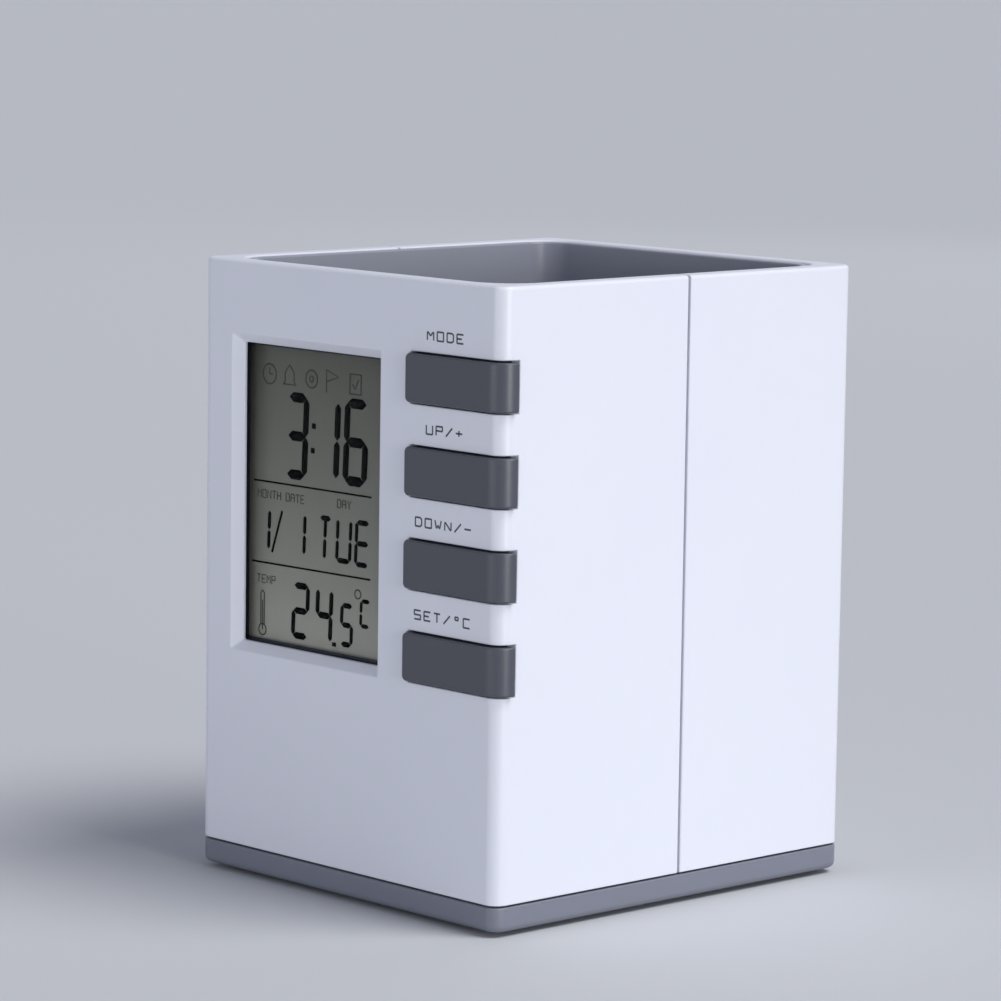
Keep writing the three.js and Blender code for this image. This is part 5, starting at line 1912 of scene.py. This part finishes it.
def sign_lines(row: float) -> list[Line]:
    """Draws the row of small signs and the thermometer.

    Args:
        row: How high the row lies.

    Returns:
        The lines about the window's middle.
    """
    return [
        ring_line((-13.75, row), 1.7), [(-13.75, row), (-13.75, row + 1.1)],
        [(-13.75, row), (-12.95, row)],
        [(-10.2, row - 1.4), (-9.7, row - 0.9), (-9.7, row + 0.6), (-8.55, row + 1.9),
         (-7.4, row + 0.6), (-7.4, row - 0.9), (-6.9, row - 1.4), (-10.2, row - 1.4)],
        ring_line((-2.9, row), 1.5), ring_line((-2.9, row), 0.5),
        [(0.9, row - 1.9), (0.9, row + 1.9), (3.9, row + 0.9), (0.9, row - 0.1)],
        [(6.8, row - 1.6), (9.6, row - 1.6), (9.6, row + 1.7), (6.8, row + 1.7), (6.8, row - 1.6)],
        [(7.5, row), (8.1, row - 0.8), (9.0, row + 0.9)],
        ring_line((9.3, -14.75), 0.75),
        ring_line((-15.15, -23.7), 0.95),
        [(-15.6, -22.8), (-15.6, -17.4), (-15.15, -16.95), (-14.7, -17.4), (-14.7, -22.8)],
        [(-15.15, -23.7), (-15.15, -18.6)],
    ]


@dataclass
class Display:
    """The clear lens, the two glasses with the driven segments between them, and their frame."""

    finishes: Finishes
    strokes: StrokeTree
    ink_depth: float = 0.04
    rule_width: float = 0.3
    dot_width: float = 0.95
    slash_width: float = 0.45
    sign_width: float = 0.24
    label_width: float = 0.17
    labels: Lettering = Lettering(0.85, 1.35, 0.42)
    flat_share: float = 1.2
    end_share: float = 0.12
    print_edge: float = 0.4
    print_corner: float = 1.0
    print_overlap: float = 0.45
    print_opening: float = 0.5
    digits: tuple[Digit, ...] = (
        Digit("3", -6.55, 10.25, 5.8, 14.5, 1.4),
        Digit("1", 1.46, 10.4, 5.9, 14.0, 1.4),
        Digit("6", 8.45, 10.55, 6.1, 14.4, 1.4),
        Digit("1", -15.2, -6.4, 4.0, 7.4, 0.75),
        Digit("1", -6.0, -6.3, 4.0, 7.4, 0.75),
        Digit("T", 0.85, -6.3, 3.5, 7.6, 0.75),
        Digit("U", 5.65, -6.15, 4.0, 7.6, 0.75),
        Digit("E", 10.3, -6.2, 3.8, 7.8, 0.75),
        Digit("2", -5.25, -19.35, 4.5, 9.5, 0.95),
        Digit("4", 0.8, -19.35, 4.4, 9.5, 0.95),
        Digit("5", 6.55, -20.3, 3.3, 7.3, 0.75),
        Digit("C", 11.2, -17.85, 2.7, 4.8, 0.6),
    )

    def __post_init__(self) -> None:
        """Finds the middle of the window and the plane of the segments."""
        front, rear = Span.of("lcd_front_glass"), Span.of("lcd_rear_glass")
        self.middle = Span.of("display_window").face
        self.level = (front.high.y + rear.low.y) / 2

    def build(self) -> None:
        """Dresses the glass stack and lays the segments into it."""
        self.stack()
        self.border()
        self.segments()

    def stack(self) -> None:
        """Softens the edges of the lens, glasses, backing, frame and contact strips."""
        rear = Span.of("lcd_rear_glass")
        # The rear glass's colour carries painted shade: darker towards the top, paler towards the foot
        polariser = PaintedShadePolariser(
            "display_rear_glass_reflective", "63645a", "dbdacd", rear.low.z, rear.high.z
        ).build()
        backing = Metal("polariser_backing_foil", "b0b5aa", "9da397", 0.4).build()
        finishes = self.finishes
        for node, finish, slot, radius in (
            ("display_window", finishes.lens, "clear_lens", 0.12),
            ("lcd_front_glass", finishes.front_glass, "lcd_glass", 0.05),
            ("lcd_rear_glass", polariser, "lcd_glass", 0.05),
            ("lcd_backing", backing, "lcd_backing", 0.03),
            ("lcd_frame", finishes.inner_plastic, "inner_plastic", 0.15),
            ("contact_strip_upper", finishes.strip, "contact_rubber", 0.12),
            ("contact_strip_lower", finishes.strip, "contact_rubber", 0.12),
        ):
            dress_node(node, finish, slot, radius)

    def border(self) -> None:
        """Prints a dark border on the rear of the lens, round the window."""
        lens = Span.of("display_window")
        rear = lens.high.y
        sheet = Solid.prism(
            lens.front_outline(self.print_edge, self.print_edge, self.print_corner),
            rear, rear + self.ink_depth, Along.Y,
        )
        across, up = LENS_LEDGE - self.print_overlap, LENS_LEDGE + self.print_overlap
        window = Solid.prism(
            lens.front_outline(across, up, self.print_opening), lens.low.y, rear + OVERRUN, Along.Y
        )
        sheet.cut(window).piece("lens_border_print", self.finishes.border_ink)

    def lay(
        self, name: str, lines: Sequence[Line], finish: Material, width: float, **ends: float
    ) -> None:
        """Lays one group of bars into the display.

        Args:
            name: The piece's name.
            lines: Its lines about the window's middle.
            finish: Their material.
            width: The bars' width.
            **ends: How the bars narrow, by the names that a bar has for it.
        """
        placed = [[(self.middle[0] + a, self.middle[1] + b) for a, b in line] for line in lines]
        bar = Bar(width, self.ink_depth, **ends)
        dressed(name, ink(placed, self.level, self.strokes, bar, finish), finish, "lcd_glass")

    def segments(self) -> None:
        """Lays in the digits, rules, labels and signs."""
        dark, faint = self.finishes.crystal, self.finishes.faint_crystal
        for bar in sorted({digit.bar for digit in self.digits}):
            for way, flat, share, point in (
                ("flat", True, self.flat_share, Digit.flat_point),
                ("upright", False, 1.0, Digit.upright_point),
            ):
                lines = [line for digit in self.digits if digit.bar == bar for line in digit.lines(flat)]
                self.lay(
                    f"segments_{round(bar * 100)}_{way}", lines, dark, bar * share,
                    point_length=bar * point, end_share=self.end_share,
                )
        self.lay("display_rules", RULES, dark, self.rule_width)
        words = [line for word, centre in LABELS for line in self.labels.lines(word, centre)]
        self.lay("display_labels", words, faint, self.label_width)
        self.lay("display_signs", sign_lines(SIGN_ROW), faint, self.sign_width)
        self.lay("display_dots", DOTS, dark, self.dot_width)
        self.lay("display_slash", SLASH, dark, self.slash_width)


@dataclass
class Electronics:
    """The main board with its parts, and the switches behind the keys."""

    finishes: Finishes
    screw: PanHeadScrew = PanHeadScrew(0.8, 1.7, 1.2, 0.5)
    dome_steps: int = 8
    bead_steps: int = 12
    plunger_bevel: float = 0.25
    buzzer_bevel: float = 0.3
    sound_hole: float = 1.0
    sound_hole_depth: float = 1.5
    fine_bevel: float = 0.2
    # The capacitor's foot, inward and up, then the lower edge, bottom and upper edge of its groove
    can_foot: Point = (0.1, 0.15)
    can_groove: tuple[float, float, float] = (0.7, 0.9, 1.1)

    def build(self) -> None:
        """Builds the board, what is soldered to it, the switches and the screws."""
        nylon = self.finishes.nylon
        dress_node("main_board", self.finishes.board, "circuit_board", 0.1, "main_board_plate")
        self.round_parts()
        for key in KEY_NODES:
            name = key.removeprefix("button_")
            dress_node(f"switch_body_{name}", nylon, "black_plastic", 0.15, f"switch_{name}_housing")
            self.plunger(name)
        self.board_screws()

    def turned(
        self, node: str, profile: Sequence[Point], finish: Material, slot: str, body: str = CASE
    ) -> None:
        """Turns a round part that points rearward.

        Args:
            node: Its node.
            profile: Its radii and heights above its front face.
            finish: Its material.
            slot: The record's material slot.
            body: The body that it rides on.
        """
        span = Span.of(node)
        foot = Vector((span.middle.x, span.low.y, span.middle.z))
        name = f"{node.removeprefix('switch_')}_turned"
        Solid.turned(profile, foot, REARWARD).piece(name, finish, slot, [node], body)

    def plunger(self, name: str) -> None:
        """Builds one switch plunger, which moves with its key.

        Args:
            name: The key's name.
        """
        node = f"switch_plunger_{name}"
        size = Span.of(node).size
        radius, length = size.z / 2, size.y
        bevel = self.plunger_bevel
        profile = ((0, 0), (radius - bevel, 0), (radius, bevel), (radius, length), (0, length))
        self.turned(node, profile, self.finishes.nylon, "black_plastic", f"key_{name}")

    def round_parts(self) -> None:
        """Builds the round parts on the board's rear face."""
        finishes = self.finishes
        chip, buzzer, can = (Span.of(node).size for node in ("chip_blob", "buzzer", "capacitor"))
        arc = [step / self.dome_steps * math.pi / 2 for step in range(self.dome_steps)]
        dome = [(chip.x / 2 * math.cos(turn), chip.y * math.sin(turn)) for turn in arc]
        wide, deep = buzzer.x / 2, buzzer.y
        cap, tall = can.x / 2, can.y
        hole, well = self.sound_hole, deep - self.sound_hole_depth
        shoulder, bevel = self.buzzer_bevel, self.fine_bevel
        inward, up = self.can_foot
        groove_low, groove, groove_high = self.can_groove
        ball = Span.of("thermistor").size.y / 2
        arc = [step / self.bead_steps * math.pi for step in range(1, self.bead_steps)]
        bead = [(ball * math.sin(turn), ball - ball * math.cos(turn)) for turn in arc]
        for node, profile, finish, slot in (
            ("chip_blob", [(0, 0), *dome, (0, chip.y)], finishes.epoxy, "black_epoxy"),
            ("buzzer", [
                (0, 0), (wide, 0), (wide, deep - shoulder), (wide - shoulder, deep),
                (hole + bevel, deep), (hole, deep - bevel), (hole, well), (0, well),
            ], finishes.epoxy, "black_epoxy"),
            ("capacitor", [
                (0, 0), (cap - inward, 0), (cap, up), (cap, groove_low), (cap - bevel, groove),
                (cap, groove_high), (cap, tall - bevel), (cap - bevel, tall), (0, tall),
            ], finishes.nickel, "nickel_plate"),
            ("thermistor", [(0, 0), *bead, (0, 2 * ball)], finishes.epoxy, "black_epoxy"),
        ):
            self.turned(node, profile, finish, slot)
        crystal = Span.of("crystal_can")
        radius, length = crystal.size.y / 2, crystal.size.z
        profile = (
            (0, 0), (radius - bevel, 0), (radius, bevel), (radius, length - bevel),
            (radius - bevel, length), (0, length),
        )
        foot = Vector((*crystal.plan, crystal.low.z))
        Solid.turned(profile, foot, UPWARD).piece(
            "crystal_can_turned", finishes.steel, "steel", ["crystal_can"]
        )

    def board_screws(self) -> None:
        """Puts the four screws through the board, and the two that hold the battery tray."""
        for nodes, name, way in ((BOARD_SCREWS, "board_screws", -1), (TRAY_SCREWS, "tray_screws", 1)):
            places = [Span.of(node) for node in nodes]
            turn = Matrix.Rotation(-way * math.pi / 2, 4, "X")
            screw = self.screw.solid(places[0].size.y).turned_by(turn)
            spots = [
                Vector((place.middle.x, place.low.y if way > 0 else place.high.y, place.middle.z))
                for place in places
            ]
            repeat_part(name, screw, spots, self.finishes.steel, "steel", nodes)


@dataclass
class BatteryBay:
    """The tray on the rear wall with two cells, their contacts and the leads to the board."""

    finishes: Finishes
    can_round: float = 0.4
    end_recess: float = 0.15
    nub_length: float = 0.8
    nub_radius: float = 1.9
    band_share: float = 0.3
    jacket_end: float = 0.9
    # How far inside the cell's side its end ring stands, at the top and at both feet
    ring_top: float = 1.0
    ring_foot: float = 1.2
    nub_foot: float = 1.3
    nub_bevel: float = 0.2
    # A point of the shrunk edge, inward and along
    edge_middle: Point = (0.1, 0.12)
    turns: float = 4.0
    wire_radius: float = 0.35
    wide_radius: float = 3.6
    narrow_radius: float = 2.4

    def build(self) -> None:
        """Builds the tray, cells, contacts, springs and leads."""
        finishes = self.finishes
        for node, finish, slot, radius in (
            ("battery_tray", finishes.inner_plastic, "inner_plastic", 0.2),
            ("battery_link_plate", finishes.nickel, "nickel_plate", 0.08),
            ("battery_plate_positive", finishes.nickel, "nickel_plate", 0.08),
            ("battery_plate_negative", finishes.nickel, "nickel_plate", 0.08),
            ("battery_lead_red", finishes.red_wire, "red_wire", 0.0),
            ("battery_lead_black", finishes.black_wire, "black_wire", 0.0),
        ):
            dress_node(node, finish, slot, radius)
        self.cell("cell_upper", 1)
        self.cell("cell_lower", -1)
        self.springs()

    def cell(self, node: str, way: int) -> None:
        """Builds one cell.

        Args:
            node: Its node.
            way: 1 with its positive end to the right, -1 to the left.
        """
        span = Span.of(node)
        radius, length = span.size.z / 2, span.size.x
        can, edge, recess, nub = length - self.nub_length, self.can_round, self.end_recess, self.nub_radius
        ring, inward, deep = radius - self.ring_foot, *self.edge_middle
        profile = (
            (0, recess), (ring, recess), (radius - self.ring_top, 0), (radius - edge, 0),
            (radius - inward, deep), (radius, edge), (radius, can - edge), (radius - deep, can - inward),
            (radius - edge, can), (ring, can), (radius - self.nub_foot, can - recess),
            (nub, can - recess), (nub, length - recess), (nub - self.nub_bevel, length), (0, length),
        )
        foot = Vector((span.low.x if way > 0 else span.high.x, span.middle.y, span.middle.z))
        band = foot.x + way * can * (1 - self.band_share) + CENTRE.x / MM
        jacket = CellJacket(f"printed_shrink_film_{node}", band, way).build()
        made = Solid.turned(profile, foot, Vector((way, 0, 0))).piece(
            f"{node}_jacketed", jacket, "cell_jacket", [node]
        )
        made.data.materials.append(self.finishes.nickel)
        bare = (radius - self.jacket_end) * MM
        axis = Vector((0, span.middle.y, span.middle.z)) * MM + CENTRE
        for face in made.data.polygons:
            off = face.center - axis
            if math.hypot(off.y, off.z) < bare:
                face.material_index = 1

    def springs(self) -> None:
        """Winds the two contact springs by geometry nodes."""
        tree = CoilTree()
        for node, cell, way in (
            ("battery_spring_link", "cell_upper", 1), ("battery_spring_end", "cell_lower", -1),
        ):
            span, axis = Span.of(node), Span.of(cell).middle
            mesh = tree.run(bpy.data.meshes.new("blank"), {
                "Turns": self.turns, "Wide Radius": self.wide_radius, "Narrow Radius": self.narrow_radius,
                "Length": span.size.x - 2 * self.wire_radius, "Wire Radius": self.wire_radius,
                "Finish": self.finishes.nickel,
            })
            start = (span.low.x if way > 0 else span.high.x) + way * self.wire_radius
            foot = Matrix.Translation((start, axis.y, axis.z))
            mesh.transform(TO_FRAME @ foot @ Matrix.Rotation(way * math.pi / 2, 4, "Y"))
            for face in mesh.polygons:
                face.use_smooth = True
            dressed(f"{node}_wound", mesh, self.finishes.nickel, "nickel_plate", [node])


@dataclass(frozen=True)
class SoftBox:
    """A soft box with a grid: its place and size in metres, its power in watts, its spread in degrees."""

    name: str
    place: tuple[float, float, float]
    size: Point
    power: float
    spread: float


@dataclass(frozen=True)
class Studio:
    """A pale floor, soft lights and the camera at the photograph's viewing angle."""

    azimuth: float = 46.745
    elevation: float = 7.504
    roll: float = 0.823
    lens: float = 161.2
    sensor: float = 36.0
    eye: tuple[float, float, float] = (551.875, -525.102, 164.522)
    floor_half: float = 40.0
    floor_colour: str = "cacccf"
    horizon_colour: str = "dde2f0"
    zenith_colour: str = "747887"
    zenith_height: float = 0.8
    world_strength: float = 0.85
    sun_from: tuple[float, float, float] = (0.45, 0.2, 0.8)
    sun_strength: float = 2.0
    sun_spread: float = 32.0
    aim: tuple[float, float, float] = (0.0, 0.0, 0.05)
    boxes: tuple[SoftBox, ...] = (
        SoftBox("side_box", (1.28, -0.22, 0.15), (0.4, 0.28), 0.31, 40.0),
        SoftBox("front_box", (-0.1, -0.9, 0.1), (0.6, 0.14), 0.11, 60.0),
        SoftBox("rear_fill", (-0.7, 1.2, 0.6), (0.9, 0.9), 0.5, 180.0),
    )

    def build(self) -> None:
        """Sets up the floor, world, lights and camera."""
        bpy.context.scene.view_settings.view_transform = "Standard"
        self.floor()
        self.sky()
        self.lights()
        self.camera()

    def floor(self) -> None:
        """Lays the floor."""
        half = self.floor_half
        corners = [(-half, -half, 0), (half, -half, 0), (half, half, 0), (-half, half, 0)]
        mesh = bpy.data.meshes.new("floor")
        mesh.from_pydata(corners, [], [(0, 1, 2, 3)])
        paint = Moulded(
            "painted_studio_floor", self.floor_colour, self.floor_colour, 0.8, grain=2.0, specular=0.1
        )
        mesh.materials.append(paint.build())
        linked_object("studio_floor", mesh)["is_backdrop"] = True

    def sky(self) -> None:
        """Makes a plain sky that is pale at the horizon and deeper overhead."""
        world = bpy.data.worlds.new("studio")
        bpy.context.scene.world = world
        world.use_nodes = True
        tree = world.node_tree
        tree.nodes.clear()
        place = add_node(tree, "ShaderNodeTexCoord")
        split = add_node(tree, "ShaderNodeSeparateXYZ", {"Vector": place.outputs["Generated"]})
        height = share_of(tree, split.outputs["Z"], 0.0, self.zenith_height)
        shine = add_node(tree, "ShaderNodeBackground", {
            "Color": blend(tree, height, self.horizon_colour, self.zenith_colour),
            "Strength": self.world_strength,
        })
        add_node(tree, "ShaderNodeOutputWorld", {"Surface": shine.outputs["Background"]})

    def lights(self) -> None:
        """Hangs a large key light, gridded soft boxes on the right and in front, and a fill behind."""
        sun = bpy.data.lights.new("key", "SUN")
        sun.energy = self.sun_strength
        sun.angle = math.radians(self.sun_spread)
        self.hang(sun, Vector(self.sun_from))
        for box in self.boxes:
            light = bpy.data.lights.new(box.name, "AREA")
            light.shape = "RECTANGLE"
            light.size, light.size_y = box.size
            light.energy = box.power
            light.spread = math.radians(box.spread)
            lamp = self.hang(light, Vector(box.place) - Vector(self.aim))
            lamp.location = box.place
            lamp.visible_camera = False

    def hang(self, light: bpy.types.Light, back: Vector) -> bpy.types.Object:
        """Adds a light that shines away from a direction.

        Args:
            light: The light.
            back: The direction behind it.

        Returns:
            The lamp.
        """
        lamp = linked_object(light.name, light)
        lamp.rotation_euler = back.to_track_quat("Z", "Y").to_euler()
        return lamp

    def camera(self) -> None:
        """Places the camera where the photograph was taken from."""
        around, above, tilt = (math.radians(a) for a in (self.azimuth, self.elevation, self.roll))
        back = Vector((
            math.sin(around) * math.cos(above), -math.cos(around) * math.cos(above), math.sin(above)
        ))
        right = Vector((math.cos(around), math.sin(around), 0))
        up = back.cross(right)
        across = right * math.cos(tilt) + up * math.sin(tilt)
        upward = up * math.cos(tilt) - right * math.sin(tilt)
        camera = bpy.data.cameras.new("photo_view")
        camera.lens = self.lens
        camera.sensor_width = self.sensor
        camera.sensor_fit = "HORIZONTAL"
        made = linked_object("photo_view", camera)
        turn = Matrix((across, upward, back)).transposed().to_4x4()
        made.matrix_world = Matrix.Translation(TO_FRAME @ Vector(self.eye)) @ turn
        bpy.context.scene.camera = made


def write_sizes() -> None:
    """Gathers the CAD box and the visual model's box into a table that is not kept."""
    boxes = {"cad": CAD_BOX, "visual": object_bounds()}
    {name: [list(corner) for corner in box] for name, box in boxes.items()}


def main() -> None:
    """Builds the clock's looks, sub-assembly by sub-assembly."""
    logging.basicConfig(level=logging.INFO, format="%(name)s: %(message)s")
    Studio().build()
    finishes = Finishes()
    strokes = StrokeTree()
    casing = Casing(finishes)
    casing.front_shell()
    casing.rear_shell()
    BatteryDoor(finishes).build()
    BaseTray(finishes).build()
    PenCup(finishes).build()
    Keys(finishes, strokes).build()
    Display(finishes, strokes).build()
    Electronics(finishes).build()
    BatteryBay(finishes).build()
    write_sizes()


if __name__ == "__main__":
    main()
